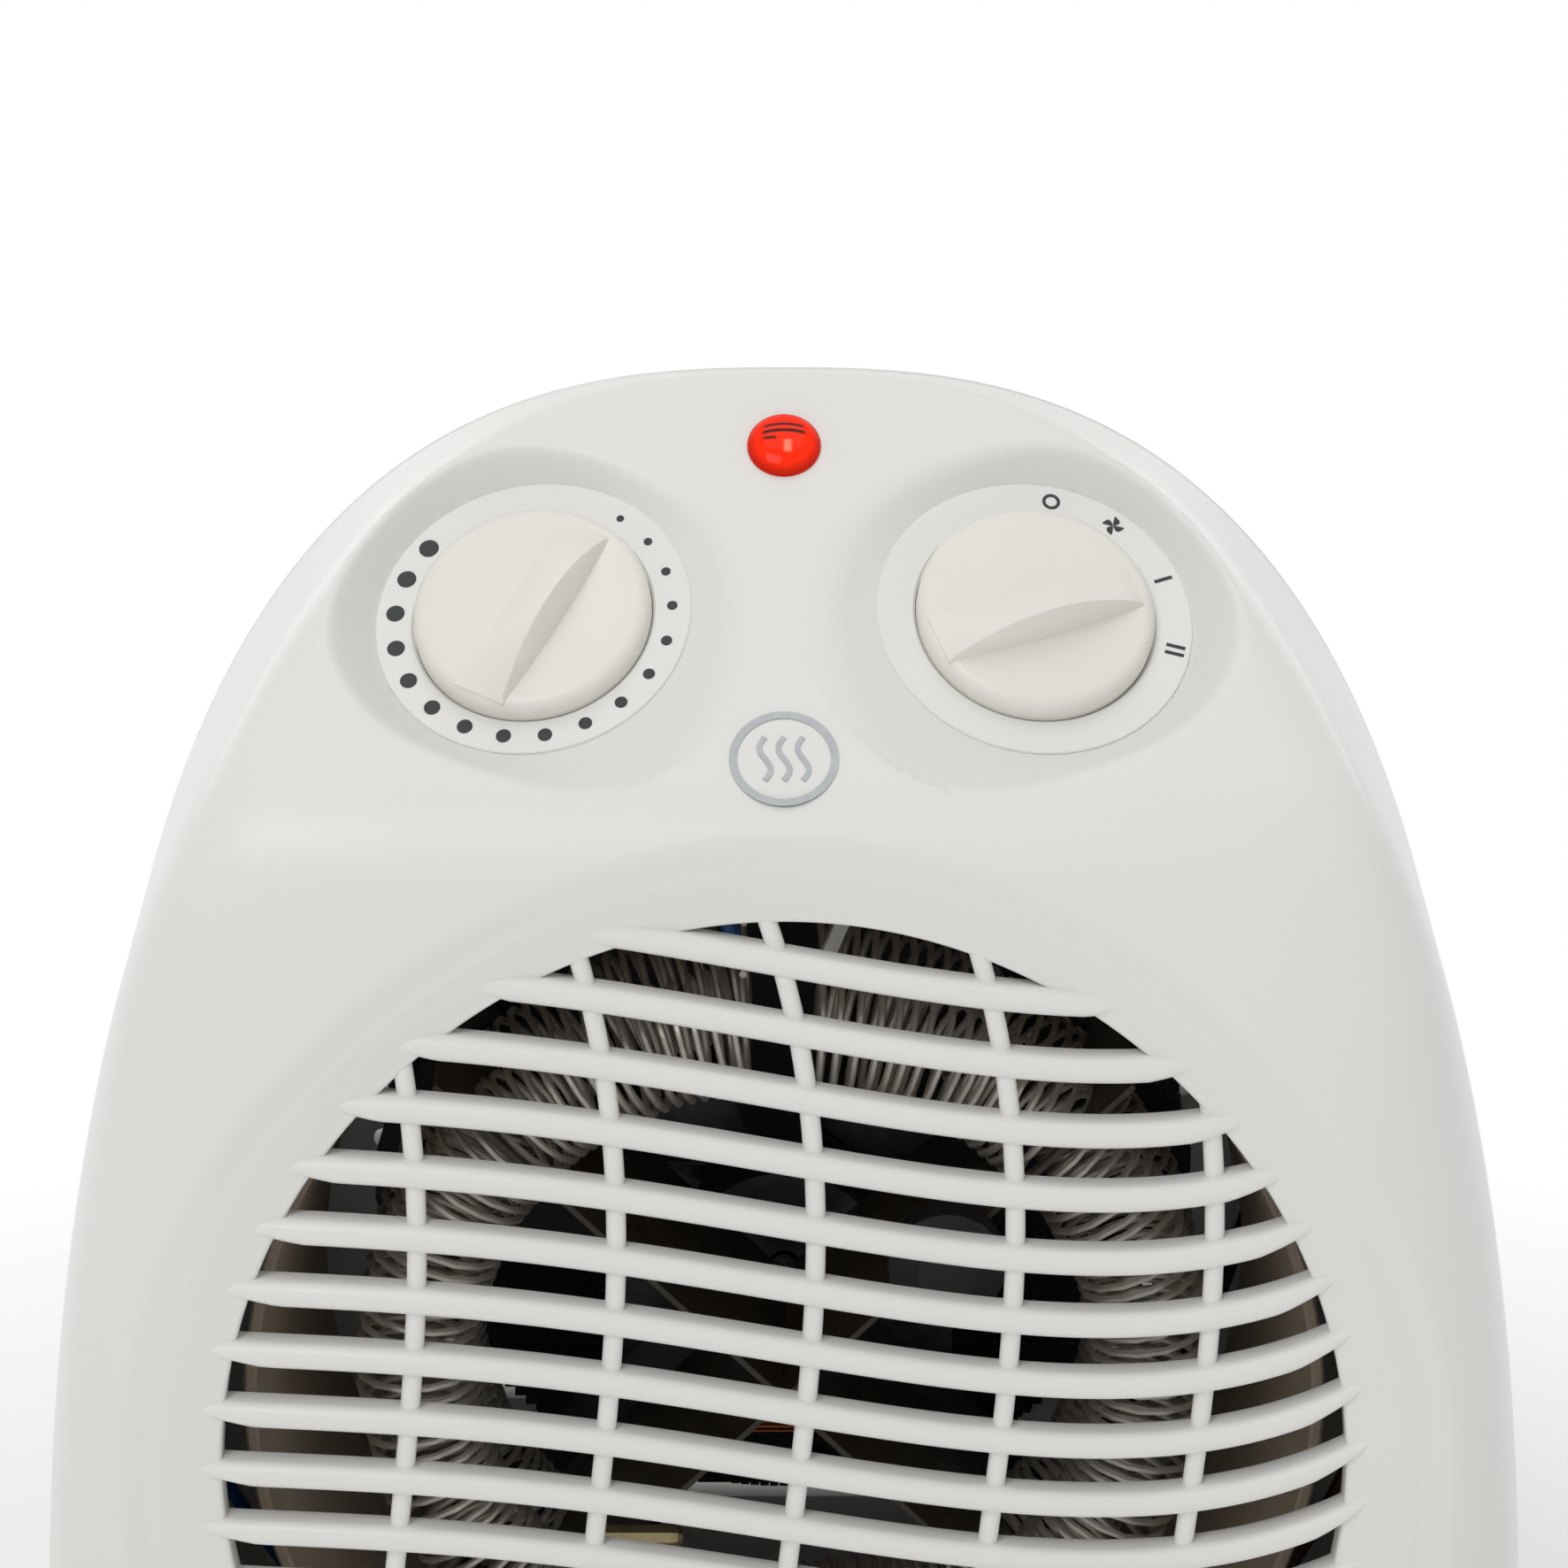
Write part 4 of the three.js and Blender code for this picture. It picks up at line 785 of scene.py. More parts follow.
def knob_disc():
    """Disc with a flat underside, a rounded rim and a faintly domed face, 3 mm above the dial."""
    a = np.radians(np.linspace(0, 90, 9))
    rim_arc = [(16.0 - 1.7 + 1.7 * math.cos(t), 1.2 + 1.7 * math.sin(t)) for t in a]
    return turned([(0, -1.7), (15.6, -1.7), (16.0, -1.3)] + rim_arc + [(9, 3.05), (0, 3.15)], 128)


def knob_ridge(steps=70, foot=4.4, crest=4.25, crease=-2.9, height=5.5):
    """Rows run along the ridge; height(a) = 5.5 (1 - ((a + 0.65)/14.36)^2), ruled from crease to crest."""
    along = np.linspace(-15.0, 13.7, steps)
    h = height * np.clip(1 - ((along + 0.65) / 14.36) ** 2, 0, 1)
    share = (h / height)[:, None]
    bulge = foot + 0.1 + 0.75 * share
    face = 2.95
    ramp = np.ones((steps, 1)) * np.linspace(0, 1, 10)
    top = share * height
    across = np.concatenate([np.full((steps, 1), crease), crease + (crest - 0.3 - crease) * ramp,
                             np.full((steps, 1), crest - 0.08), crest + 0.07 * share,
                             bulge, bulge], axis=1)
    up = np.concatenate([np.full((steps, 1), face - 0.8), face + 0.06 + top * 0.985 * ramp,
                         face + 0.06 + top, face + 0.06 + top * 0.965 - 0.02,
                         np.full((steps, 1), face), np.full((steps, 1), face - 0.8)], axis=1)
    return skin(grid_of(across, along[:, None], up))


cream = knob_plastic()
for name, dial, rest, control in (("thermostat_knob_moulding", left_dial, 29.0, "thermostat_control"),
                                  ("mode_knob_moulding", right_dial, 67.6, "mode_control")):
    place = dial @ turned_by(rest)
    add_piece(name, [placed(knob_disc(), place), placed(knob_ridge(), place)], cream,
              body=control, stands_for=(name.replace("_moulding", ""),), crease=32)

# %% [markdown]
# The lamp's lens is a shallow orange-red dome that glows from inside, since a neon is on whenever the heater
# draws current. Its electrodes show as dark bars, two long and one short. A flat map of the dome, in
# millimetres, is enough to place them: a bar is where the distance from its middle line is under its half
# width. A pale patch below them is a painted reflection: it glows where a lamp's reflection would lie.

# %% Neon lens
def lens_glow():
    f = Finish("lens_orange_red", roughness=0.08, specular_ior_level=0.15, ior=1.4, emission_strength=0.85)
    u, v, _ = f.split("UV")

    def dark_bar(centre_u, half_u, centre_v, half_v, arch):
        """1 inside a short bar whose middle line is v = centre - arch u^2, softly 0 outside it."""
        off_u = f.maths("ABSOLUTE", u - centre_u)
        middle = centre_v - arch * (u - centre_u) * (u - centre_u)
        off_v = f.maths("ABSOLUTE", v - middle)
        inside_u = f.ramp(off_u, half_u + 0.25, half_u - 0.25)
        inside_v = f.ramp(off_v, half_v + 0.2, half_v - 0.2)
        return inside_u * inside_v

    bars = dark_bar(0.0, 2.7, 2.4, 0.26, 0.05) + dark_bar(0.0, 2.9, 1.3, 0.30, 0.03)
    bars = f.maths("MINIMUM", bars + dark_bar(-1.9, 0.9, 0.1, 0.24, 0.0), 1.0)
    # painted reflection: a pale glowing patch that stands in for a lamp's reflection on the lens
    painted_reflection = dark_bar(0.5, 0.45, -1.2, 0.9, 0.0)
    radius = f.maths("SQRT", u * u + v * v)
    rim_share = f.ramp(radius, 3.7, 4.9)
    cloud = f.noise(1.4, 2)
    glow = f.mixed(rim_share, f.mixed(cloud, tint("ff1c00"), tint("ff3400")), tint("9c1200"))
    f.set(base_color=f.mixed(bars, tint("8c1202"), tint("200604")))
    f.set(emission_color=f.mixed(bars, f.mixed(painted_reflection, glow, tint("ff9274")), tint("2a0400")))
    f.set(normal=f.bump(f.noise(0.5, 2), 0.004))
    return f.material


dome = [(0, -3.0), (3.6, -3.0), (3.6, -1.0), (4.95, -1.0), (5.0, -0.7), (5.0, 0.1)]
dome += [(5.0 * math.cos(a) ** 0.9, 0.1 + 1.95 * math.sin(a)) for a in np.radians(np.linspace(8, 88, 16))]
dome += [(0, 2.05)]
lens_shape = turned(dome)
lens = add_piece("neon_lens_dome", [placed(lens_shape, lamp_axes)], lens_glow(),
                 stands_for=("neon_lens",), crease=50)
lay_map(lens, lens_shape[0][:, 0], lens_shape[0][:, 1])

# %% [markdown]
# Below the lamp lies a round silver mark. A plain ring with three waves of rising heat says what the object
# does without words, so it suits any heater. The waves are narrow sine ribbons.

# %% Silver mark
LOW, HIGH = -0.1, 0.16


def flat_ring(outer_radius, inner_radius):
    return hollow([(outer_radius, LOW), (outer_radius, HIGH), (inner_radius, HIGH), (inner_radius, LOW)])


def heat_wave(x, foot=-3.3, top=3.3, half=0.36, steps=40):
    """A ribbon along x + 0.75 sin(2 pi t), t from its foot to its top, a constant width across."""
    t = np.linspace(0, 1, steps)
    middle = np.stack([x + 0.75 * np.sin(2 * np.pi * t), foot + (top - foot) * t], axis=-1)
    tangent = np.gradient(middle, axis=0)
    tangent /= np.linalg.norm(tangent, axis=1)[:, None]
    side = np.stack([tangent[:, 1], -tangent[:, 0]], axis=-1) * half
    grid = np.empty((steps, 4, 3))
    for k, (sign, z) in enumerate([(-1, LOW), (-1, HIGH), (1, HIGH), (1, LOW)]):
        grid[:, k, :2] = middle + sign * side
        grid[:, k, 2] = z
    return skin(grid)


silver = plain_finish("silver_foil", ("8d9092", "a1a4a6"), (2.2, 3), 0.36, (0.1, 0.8, 3), (0.2, 2), 0.003,
                      metallic=0.55)
mark_shapes = [flat_ring(7.2, 6.15)] + [heat_wave(x) for x in (-2.5, 0.0, 2.5)]
add_piece("heat_mark", [placed(shape, mark_axes) for shape in mark_shapes], silver,
          stands_for=("badge",))

# %% [markdown]
# The rear cover narrows gently and turns over a rounded edge into a flat back. Its body is a pair of skins,
# one inside the other, and the slots, the grip and the screw wells are cut out in a single Boolean. Every
# cutter is a smooth prism of its own, and none touch, so together they make one clean cutting mesh.

# %% Rear shell
def rear_rings(margin, start, count):
    """Outline scaled by 1 - 0.055 t - 0.09 (1 - (1 - t^5)^(1/5)), t from the seam to the back."""
    t = np.sin(np.linspace(0, math.pi / 2, count))
    lean = 1 - 0.055 * t
    turn = (1 - (1 - t ** 5) ** 0.2) * 0.09
    x, h = rim * cosine, OUTLET + rim * sine - BASE
    across = x * (lean - turn)[:, None] * (HALF - margin) / HALF
    high = h * (lean - turn * 0.65)[:, None] * (HEIGHT - 1.6 * margin) / HEIGHT
    return grid_of(across, (start + (REAR - margin - start) * t)[:, None], BASE + np.maximum(high, margin))


def end_grid(grid, rows, back):
    """Continues a grid's last ring inwards over the flat back, so that the face has points of its own."""
    middle = np.array([0, 0, OUTLET])
    rings = np.array([middle + (grid[-1] - middle) * s for s in rows])
    rings[..., 1] = back
    return np.concatenate([grid, rings])


seam = SPLIT + GAP / 2
outer_rear = rear_rings(0, seam, 30)
outer_rear = np.concatenate([outer_rear[:1], outer_rear])
outer_rear[0] = (outer_rear[0] - (0, 0, OUTLET)) * (0.9965, 1, 0.9965) + (0, 0, OUTLET)
outer_rear[1:, :, 1] += 0.35 * (1 - np.linspace(0, 1, 30))[:, None]
outer_rear = end_grid(outer_rear, (0.995, 0.97, 0.02), REAR)
inner_rear = end_grid(rear_rings(WALL, seam, 16), (0.97, 0.02), REAR - WALL)
shell = skin(np.concatenate([outer_rear[::-1], inner_rear]), wrap_rows=True)
casing_rear = add_piece("casing_rear", [shell], casing_white, stands_for=("rear_cover",))

# %% Cutters for the back
def prism(outline, low, high):
    """An upright outline of (x, z) points carried from y = low to y = high."""
    x, z = np.array(outline, float).T
    return skin(grid_of(x, np.array([[low], [high]]), z))


def tilted(shape, z, degrees):
    """The shape turned about the level line at height z on the back wall, so that it rises on its way out."""
    points, faces = shape
    a, pivot = math.radians(degrees), np.array([0, REAR - 1.2, z])
    y, up = (points - pivot)[:, 1], (points - pivot)[:, 2]
    out, rise = y * math.cos(a) - up * math.sin(a), y * math.sin(a) + up * math.cos(a)
    return grid_of(points[:, 0], out, rise) + pivot, faces


def slot_outline(x0, x1, z, half, count=7):
    """A slot with round ends."""
    a = np.linspace(-math.pi / 2, math.pi / 2, count)
    right = np.stack([x1 - half + half * np.cos(a), z + half * np.sin(a)], axis=-1)
    left = np.stack([x0 + half - half * np.cos(a), z - half * np.sin(a)], axis=-1)
    return np.concatenate([right, left])


def soft_box(half_x, low, high, r, count=6):
    """A rectangle with rounded corners."""
    x, top, foot = half_x - r, high - r, low + r
    parts = []
    for k, (cx, cz) in enumerate([(x, top), (-x, top), (-x, foot), (x, foot)]):
        a = np.linspace(0, math.pi / 2, count) + k * math.pi / 2
        parts.append(np.stack([cx + r * np.cos(a), cz + r * np.sin(a)], axis=-1))
    return np.concatenate(parts)


SLOT_PITCH, SLOT_HALF, SLOT_TILT, SLOT_REACH = 8.5, 1.1, 42, 62
cutters = []
for i in range(-7, 8):
    rise = SLOT_PITCH * i
    reach = math.sqrt(SLOT_REACH ** 2 - rise ** 2)
    for low, high in ((-reach, -23), (-19, 19), (23, reach)):
        low, high = max(low, -reach), min(high, reach)
        if high - low > 6:
            slot = prism(slot_outline(low, high, OUTLET + rise, SLOT_HALF), REAR - 5.6, REAR + 3.2)
            cutters.append(tilted(slot, OUTLET + rise, SLOT_TILT))
screws = [box_mm(f"cover_screw_{i}") for i in range(1, 5)]
screw_places = [((low[0] + high[0]) / 2, (low[2] + high[2]) / 2, high[1]) for low, high in screws]
for x, z, _ in screw_places:
    cutters.append(prism(disc_outline(x, z, 4.2, 40), REAR - 6, REAR + 2))
gland_low, gland_high = box_mm("cord_gland")
gland_x, gland_z = (gland_low[0] + gland_high[0]) / 2, (gland_low[2] + gland_high[2]) / 2
cutters.append(prism(disc_outline(gland_x, gland_z, 5.9, 40), REAR - 6, REAR + 2))
GRIP = (38.0, BASE + 179, BASE + 203)
cutters.append(prism(soft_box(*GRIP, 5), REAR - 6, REAR + 2))


def cut(piece, shapes):
    """Cuts the shapes out of the piece and keeps the result as its mesh."""
    tool = bpy.data.objects.new("cutters", new_mesh("cutters", shapes))
    bpy.context.scene.collection.objects.link(tool)
    change = piece.modifiers.new("cut", "BOOLEAN")
    change.operation, change.solver, change.object = "DIFFERENCE", "EXACT", tool
    graph = bpy.context.evaluated_depsgraph_get()
    result = bpy.data.meshes.new_from_object(piece.evaluated_get(graph))
    piece.modifiers.clear()
    old, piece.data = piece.data, result
    bpy.data.objects.remove(tool)
    bpy.data.meshes.remove(old)
    result.shade_smooth()
    result.set_sharp_from_angle(angle=math.radians(32))
    print(piece.name, "after its cuts:", len(result.polygons), "faces")


cut(casing_rear, cutters)

# %% [markdown]
# Behind the holes sit the parts that the cuts open onto: the grip's pocket, four screw wells and the posts.
# They are plain liners, closed shapes that start just inside the back wall.

# %% Grip pocket and screw wells
def pocket():
    """A cup behind the grip: its wall goes forward, rounds over and closes with a flat floor."""
    depths = [REAR - 2.0, REAR - 12.5, REAR - 15.0, REAR - 16.0, REAR - 18.2, REAR - 2.0]
    insets = [0.0, 0.3, 1.2, 3.4, -2.0, -2.0]
    half_x, low, high = GRIP
    rows = [soft_box(half_x - i, low + i, high - i, 5) for i in insets]
    order = rows[:4] + [rows[3] * 0.001 + np.array([0, (low + high) / 2]) * 0.999] * 2 + rows[4:]
    y = depths[:4] + [REAR - 16.0, REAR - 18.2] + depths[4:]
    return skin(np.array([grid_of(row[:, 0], at, row[:, 1]) for row, at in zip(order, y)]), wrap_rows=True)


def well(x, z, floor):
    """A tube from the back wall to the screw's seat."""
    length = REAR - 1.2 - (floor - 3.0)
    return placed(hollow([(4.2, 2.0), (4.2, length), (5.5, length), (5.5, 0), (1.9, 0), (1.9, 2.0)], 48),
                  to_rear(x, floor - 3.0, z))


add_piece("grip_pocket", [pocket()], casing_white)
add_piece("screw_wells", [well(x, z, y - 2.2) for x, z, y in screw_places], casing_white)

# %% [markdown]
# Behind the slots lies a fine black gauze, a dark sheet of painted shade that keeps the inside looking dark.
# It could be a flat disc with holes cut in it, but two layers of straight strips, one across the other, give
# real holes for far fewer faces.

# %% Dust gauze
GAUZE_RADIUS, STRIP_PITCH, STRIP_HALF, STRIPS_EACH_SIDE = 60.0, 1.5, 0.68, 39


def gauze_strip(offset, lies_flat, y):
    """A strip across a circle, at an offset from its middle: half its length is sqrt(radius^2 - offset^2)."""
    half = math.sqrt(GAUZE_RADIUS ** 2 - offset ** 2)
    low, high = offset - STRIP_HALF, offset + STRIP_HALF
    ends = [(-half, low), (half, low), (half, high), (-half, high)]
    points = [(x, OUTLET + z) if lies_flat else (z, OUTLET + x) for x, z in ends]
    return prism(points, y, y + 0.25)


gauze_front = REAR - WALL - 0.9
strips = [gauze_strip(STRIP_PITCH * i, lies_flat, y)
          for lies_flat, y in ((True, gauze_front), (False, gauze_front + 0.3))
          for i in range(-STRIPS_EACH_SIDE, STRIPS_EACH_SIDE + 1)]
print(len(strips), "strips in the gauze")

# %% [markdown]
# Two heating coils run round the outlet, one behind the other, through holes in crossed mica plates. Each is
# a wire wound on a ring: it turns about a hundred and forty times on its way round. Real coils are wound by
# hand onto their plates, so the pitch drifts a little and single turns lean; slow sines do that here, the
# same on every run.

# %% Heating coils
def heating_wire():
    f = Finish("oxidised_heating_wire", metallic=0.6)
    tarnish = f.noise(3.5, 4)
    spots = f.ramp(f.noise(0.9, 3), 0.45, 0.65)
    f.set(base_color=f.mixed(tarnish, tint("b0a89e"), tint("e2dcd4")))
    f.set(roughness=0.32 + 0.14 * spots, normal=f.bump(spots, 0.004))
    return f.material


def coil(depth, turns=140, ring=50.7, turn=8.2, wire=0.55, per_turn=14, phase=0.0):
    """A point goes round the ring at angle a while it circles the wire's tube at angle turns * a."""
    t = np.linspace(0, 1, turns * per_turn + 1)
    start = 0.09
    drift = 0.004 * np.sin(2 * np.pi * 9 * t + phase) + 0.0025 * np.sin(2 * np.pi * 23 * t + 1 + phase)
    around = math.pi / 2 + start + (2 * math.pi - 2 * start) * t + drift
    twist = 2 * math.pi * turns * t
    swell = turn * (1 + 0.02 * np.sin(2 * np.pi * 17 * t + phase))
    out = grid_of(np.cos(around), 0.0, np.sin(around))
    lean = 0.10 * np.sin(2 * np.pi * 31 * t + phase) * swell
    along = grid_of(-np.sin(around), 0.0, np.cos(around))
    path = out * (ring + swell * np.cos(twist))[:, None] + along * (lean * np.sin(twist) * 0.4)[:, None]
    path = path + np.array([0, FRONT + depth, OUTLET])
    path[:, 1] += swell * np.sin(twist)
    return tube(path, wire)


def tube(path, radius, sides=6):
    """A round wire along a path: rings square to it, turned as little as possible from one to the next."""
    tangent = np.gradient(path, axis=0)
    tangent /= np.linalg.norm(tangent, axis=1)[:, None]
    reference = np.cross(tangent, np.roll(tangent, -3, axis=0))
    flat = np.linalg.norm(reference, axis=1) < 1e-6
    reference[flat] = np.cross(tangent[flat], (0.3, 0.5, 0.8))
    for _ in range(2):
        same = np.einsum("ij,ij->i", reference, np.roll(reference, 1, axis=0)) >= 0
        reference = reference * np.where(np.cumprod(np.where(same, 1, -1)) > 0, 1, -1)[:, None]
        reference -= np.einsum("ij,ij->i", reference, tangent)[:, None] * tangent
        reference /= np.linalg.norm(reference, axis=1)[:, None]
    other = np.cross(tangent, reference)
    a = even_turn(sides)
    ring = reference[:, None] * np.cos(a)[None, :, None] + other[:, None] * np.sin(a)[None, :, None]
    return skin(path[:, None] + radius * ring)


wire = heating_wire()
for name, phase in (("heater_coil_front", 0.4), ("heater_coil_rear", 2.1)):
    low, high = box_mm(name)
    winding = coil((low[1] + high[1]) / 2 - FRONT, phase=phase)
    add_piece(name.replace("heater_coil", "heating_wire"), [winding], wire,
              stands_for=(name,))

# %% [markdown]
# The duct guides the air past the coils. It is a matt beige plastic that stands heat, a shade that the warm
# metal and the dark inside make look brown. Its inner wall is the only part that shows.

# %% Duct and mica
def duct_profile(long):
    """Wall of the duct as (radius, distance from its front), with small rounds at its mouth."""
    return [(72.4, 0.0), (73.4, 0.0), (73.8, 0.4), (67.8, long - 3), (73.4, long - 3), (73.8, long - 2.6),
            (73.8, long), (66.3, long), (66.0, long - 0.4), (72.0, 0.4)]


duct_low, duct_high = box_mm("outlet_duct")
beige = plain_finish("duct_warm_grey_plastic", ("ab9c8b", "bbac9a"), (22, 4), 0.55, (0.1, 1.0, 3), (0.5, 3),
                     0.02, specular_ior_level=0.35)
liner = placed(hollow(duct_profile(duct_high[1] - duct_low[1]), 160), to_rear(0, duct_low[1], OUTLET))
add_piece("duct_liner", [liner], beige, stands_for=("outlet_duct",))


def mica():
    f = Finish("mica_sheet", specular_ior_level=0.6, coat_weight=0.0)
    flakes = f.node("TexVoronoi", {"feature": "F1"}, out="Color", Vector=f.place(), Scale=260.0)
    grey = f.node("RGBToBW", {}, flakes)
    f.set(base_color=f.mixed(f.noise(7, 4), tint("2e2820"), tint("453b2e")))
    f.set(roughness=0.3 + 0.25 * grey, normal=f.bump(grey + f.noise(1.2, 3) * 0.5, 0.03))
    return f.material


def dress(finish, *names):
    """Gives nodes of the engineering model a finish in place of their plain one."""
    for name in names:
        node = frame["nodes"][name]
        node.data.materials.clear()
        node.data.materials.append(finish)


dress(mica(), "mica_plate_a", "mica_plate_b")

# %% [markdown]
# Behind the coils turns a small axial fan. Its blades are wide paddles that twist from steep at the hub to
# flat at the tip, with rounded corners and a slight camber. Each blade is one closed sheet: its section is
# a thin lens that is swept outwards while it turns.

# %% Fan
fan_low, fan_high = box_mm("impeller")
FAN_Y = (fan_low[1] + fan_high[1]) / 2


def fan_blade(turn, sections=26, around=24):
    """Section points follow a thin closed loop; chord and pitch run from hub to tip, ends rounded off."""
    s = np.linspace(0, 1, sections)
    r = 13.6 + (60.4 - 13.6) * s
    chord = (14 + 16 * s) * np.sqrt(np.clip(1 - np.clip((s - 0.86) / 0.145, 0, 1) ** 2, 0.02, 1))
    pitch = 0.75 - 0.33 * s
    a = even_turn(around)
    u = np.cos(a)
    thick = 0.85 * np.sin(a) * np.sqrt(np.clip(1.02 - u ** 2, 0, 1)) ** 0.2
    camber = 1.3 * (1 - u ** 2)
    x = chord[:, None] / 2 * u[None]
    y = (thick + camber)[None] * np.ones_like(x)
    dx = x * np.cos(pitch)[:, None] - y * np.sin(pitch)[:, None]
    dy = x * np.sin(pitch)[:, None] * 0.62 + y * np.cos(pitch)[:, None]
    r, c, s = r[:, None], math.cos(turn), math.sin(turn)
    return skin(grid_of(dx * c + r * s, dy + FAN_Y - 0.6, -dx * s + r * c + OUTLET))


hub_length = 13.0
hub = [(2.3, 0.0), (12.6, 0.0), (14.2, 0.5), (15.0, 1.9), (15.0, hub_length), (13.2, hub_length),
       (13.2, 2.4), (4.4, 2.4), (4.4, hub_length - 1), (2.3, hub_length - 1)]
black_plastic = plain_finish("fan_black_plastic", ("1b1b1d", "26262a"), (12, 3), 0.45, (0.12, 2, 4),
                             (0.4, 3), 0.012, specular_ior_level=0.45)
# painted shade: a black gauze behind the slots that keeps the inside dark
add_piece("shade_gauze", strips, black_plastic, crease=30)
add_piece("fan_wheel", [placed(hollow(hub, 96), to_rear(0, FAN_Y - hub_length / 2, OUTLET))]
          + [fan_blade(2 * math.pi * k / 5) for k in range(5)], black_plastic, body="fan",
          stands_for=("impeller",))

# %% [markdown]
# Metals, wires and mouldings inside are only seen through the slots, but each still has its own finish: zinc
# and turned steel are cloudy, and the stack of the motor shows its sheets as lines.

# %% Metals
def cloudy_metal(name, low, high, rough, lump=1.6):
    """Metal that is rougher where it is paler, as one noise sets both."""
    return plain_finish(name, (low, high), (lump, 4), rough, (0.14, lump, 4), (0.3, 3), 0.006, metallic=1.0)


def sheet_stack():
    """Dark steel whose sheets, half a millimetre thick, show as fine lines across the depth."""
    f = Finish("motor_sheets", metallic=0.9)
    _, depth, _ = f.split()
    line = f.maths("PINGPONG", depth * 1000.0, 0.25)
    gap = f.ramp(line, 0.07, 0.0)
    f.set(base_color=f.mixed(f.noise(3, 4), tint("6b6d70"), tint("85878a")))
    f.set(roughness=0.42 + 0.25 * gap, normal=f.bump(1 - gap, 0.08))
    return f.material


def copper_winding():
    """Enamelled wire: fine ridges of about 0.4 mm, from a wave along the coil's height."""
    f = Finish("enamelled_copper", metallic=0.6, coat_weight=0.4)
    turns = f.node("TexWave", {"wave_type": "BANDS", "bands_direction": "Z"}, out="Fac",
                   Vector=f.place(), Scale=400.0, Distortion=0.6)
    f.set(base_color=f.mixed(turns, tint("7c3a1a"), tint("b8622e")))
    f.set(roughness=0.3 + 0.1 * turns, normal=f.bump(turns, 0.1))
    return f.material


zinc = cloudy_metal("zinc_plate", "9a9c9e", "b9bbbd", 0.3)
steel = cloudy_metal("turned_steel", "a8aaac", "c2c4c6", 0.18, 0.8)
bronze = cloudy_metal("sintered_bronze", "7d6338", "9c7d49", 0.42, 0.6)
dress(zinc, "front_bracket", "rear_bracket", "motor_screw_1", "motor_screw_2")
dress(steel, "motor_shaft", "thermostat_spindle", "switch_spindle")
dress(bronze, "front_bearing", "rear_bearing")
dress(sheet_stack(), "stator_stack", "rotor")
dress(copper_winding(), "motor_winding")

# %% Inner mouldings and wires
def insulation(name, low, high):
    return plain_finish(name, (low, high), (5, 3), 0.42, (0.1, 1.5, 3), (0.5, 2), 0.01,
                        specular_ior_level=0.4)


def lamp_glass():
    f = Finish("lamp_glass", specular_ior_level=0.6, coat_weight=0.5)
    f.set(base_color=f.mixed(f.noise(2, 2), tint("d9b694"), tint("e6c9a8")))
    f.set(roughness=0.08 + 0.05 * f.noise(1, 2))
    return f.material


dress(insulation("brown_phenolic", "4a2c18", "5d3a22"), "thermostat_body")
dress(black_plastic, "switch_body", "thermal_cutout")
dress(insulation("pale_block", "cfcdc4", "dad8d0"), "terminal_block")
dress(lamp_glass(), "neon_lamp")
dress(cloudy_metal("fuse_case", "a99a74", "c0b08a", 0.34), "thermal_fuse")
leads = (("brown", "4a2412", "5c3020", "line"), ("blue", "1f4b8e", "2c5fa8", "neutral"),
         ("red", "8f211b", "a83028", "mode"), ("white", "d2d0ca", "e0ded8", "heater"),
         ("black", "202022", "2f2f32", "motor"))
for colour, low, high, lead in leads:
    dress(insulation("lead_" + colour, low, high), "lead_" + lead)

# %% [markdown]
# Feet, screws and the cord's gland are turned shapes. A foot is a soft rubber button with a dished sole. A
# screw's head has a cross cut into it by pressing the points near two crossing lines downwards.

# %% Feet, screws and gland
def foot_shape(height):
    return turned([(0, 0.5), (5.0, 0.5), (5.6, 0.05), (6.9, 0.0), (7.7, 0.3), (8.0, 1.0), (8.0, height - 0.4),
                   (2.2, height - 0.4), (2.2, height + 3.6), (0, height + 3.6)], 64)


def screw_shape(length):
    """Shank and pan head; the head's face is pressed in by 1 mm where |x| or |y| is under 0.5 mm."""
    radii = np.concatenate([np.linspace(0.0, 2.4, 17), [2.8, 3.2, 3.5, 3.6, 3.6]])
    face = 2.5 - 0.7 * (radii / 3.6) ** 2
    face[-1] = 0.0
    profile = [(0, -length), (1.5, -length), (1.6, -length + 0.6), (1.6, 0.0)]
    profile += list(zip(radii[::-1], face[::-1]))
    points, faces = turned(profile, 72)
    x, y, z = points.T
    near, far = np.sort(np.abs([x, y]), axis=0)
    points[(near < 0.5) & (far < 2.1) & (z > 1.5), 2] -= 1.0
    return points, faces


dark_rubber = plain_finish("grey_rubber", ("2d2d2f", "3d3d40"), (4, 4), 0.75, (0.15, 0.8, 3), (0.4, 4), 0.03,
                           specular_ior_level=0.3)
for i in range(1, 5):
    low, high = box_mm(f"foot_{i}")
    foot = placed(foot_shape(BASE), moved(*(low[:2] + high[:2]) / 2))
    add_piece(f"rubber_foot_{i}", [foot], dark_rubber, stands_for=(f"foot_{i}",))
    x, z, tip = screw_places[i - 1]
    add_piece(f"casing_screw_{i}", [placed(screw_shape(18), to_rear(x, tip - 2.6, z))], zinc,
              stands_for=(f"cover_screw_{i}",), crease=25)
gland = [(3.4, -5.0), (5.6, -5.0), (5.6, 0.05), (7.9, 0.05), (8.0, 0.4), (8.0, 1.4), (7.6, 2.2), (6.6, 2.8),
         (5.4, 3.0), (4.0, 3.0), (3.5, 2.7), (3.4, 2.2)]
trim = insulation("gland_off_white", "d6d4cc", "dedcd4")
add_piece("cord_bushing", [placed(hollow(gland, 72), to_rear(gland_x, REAR, gland_z))], trim,
          stands_for=("cord_gland",))

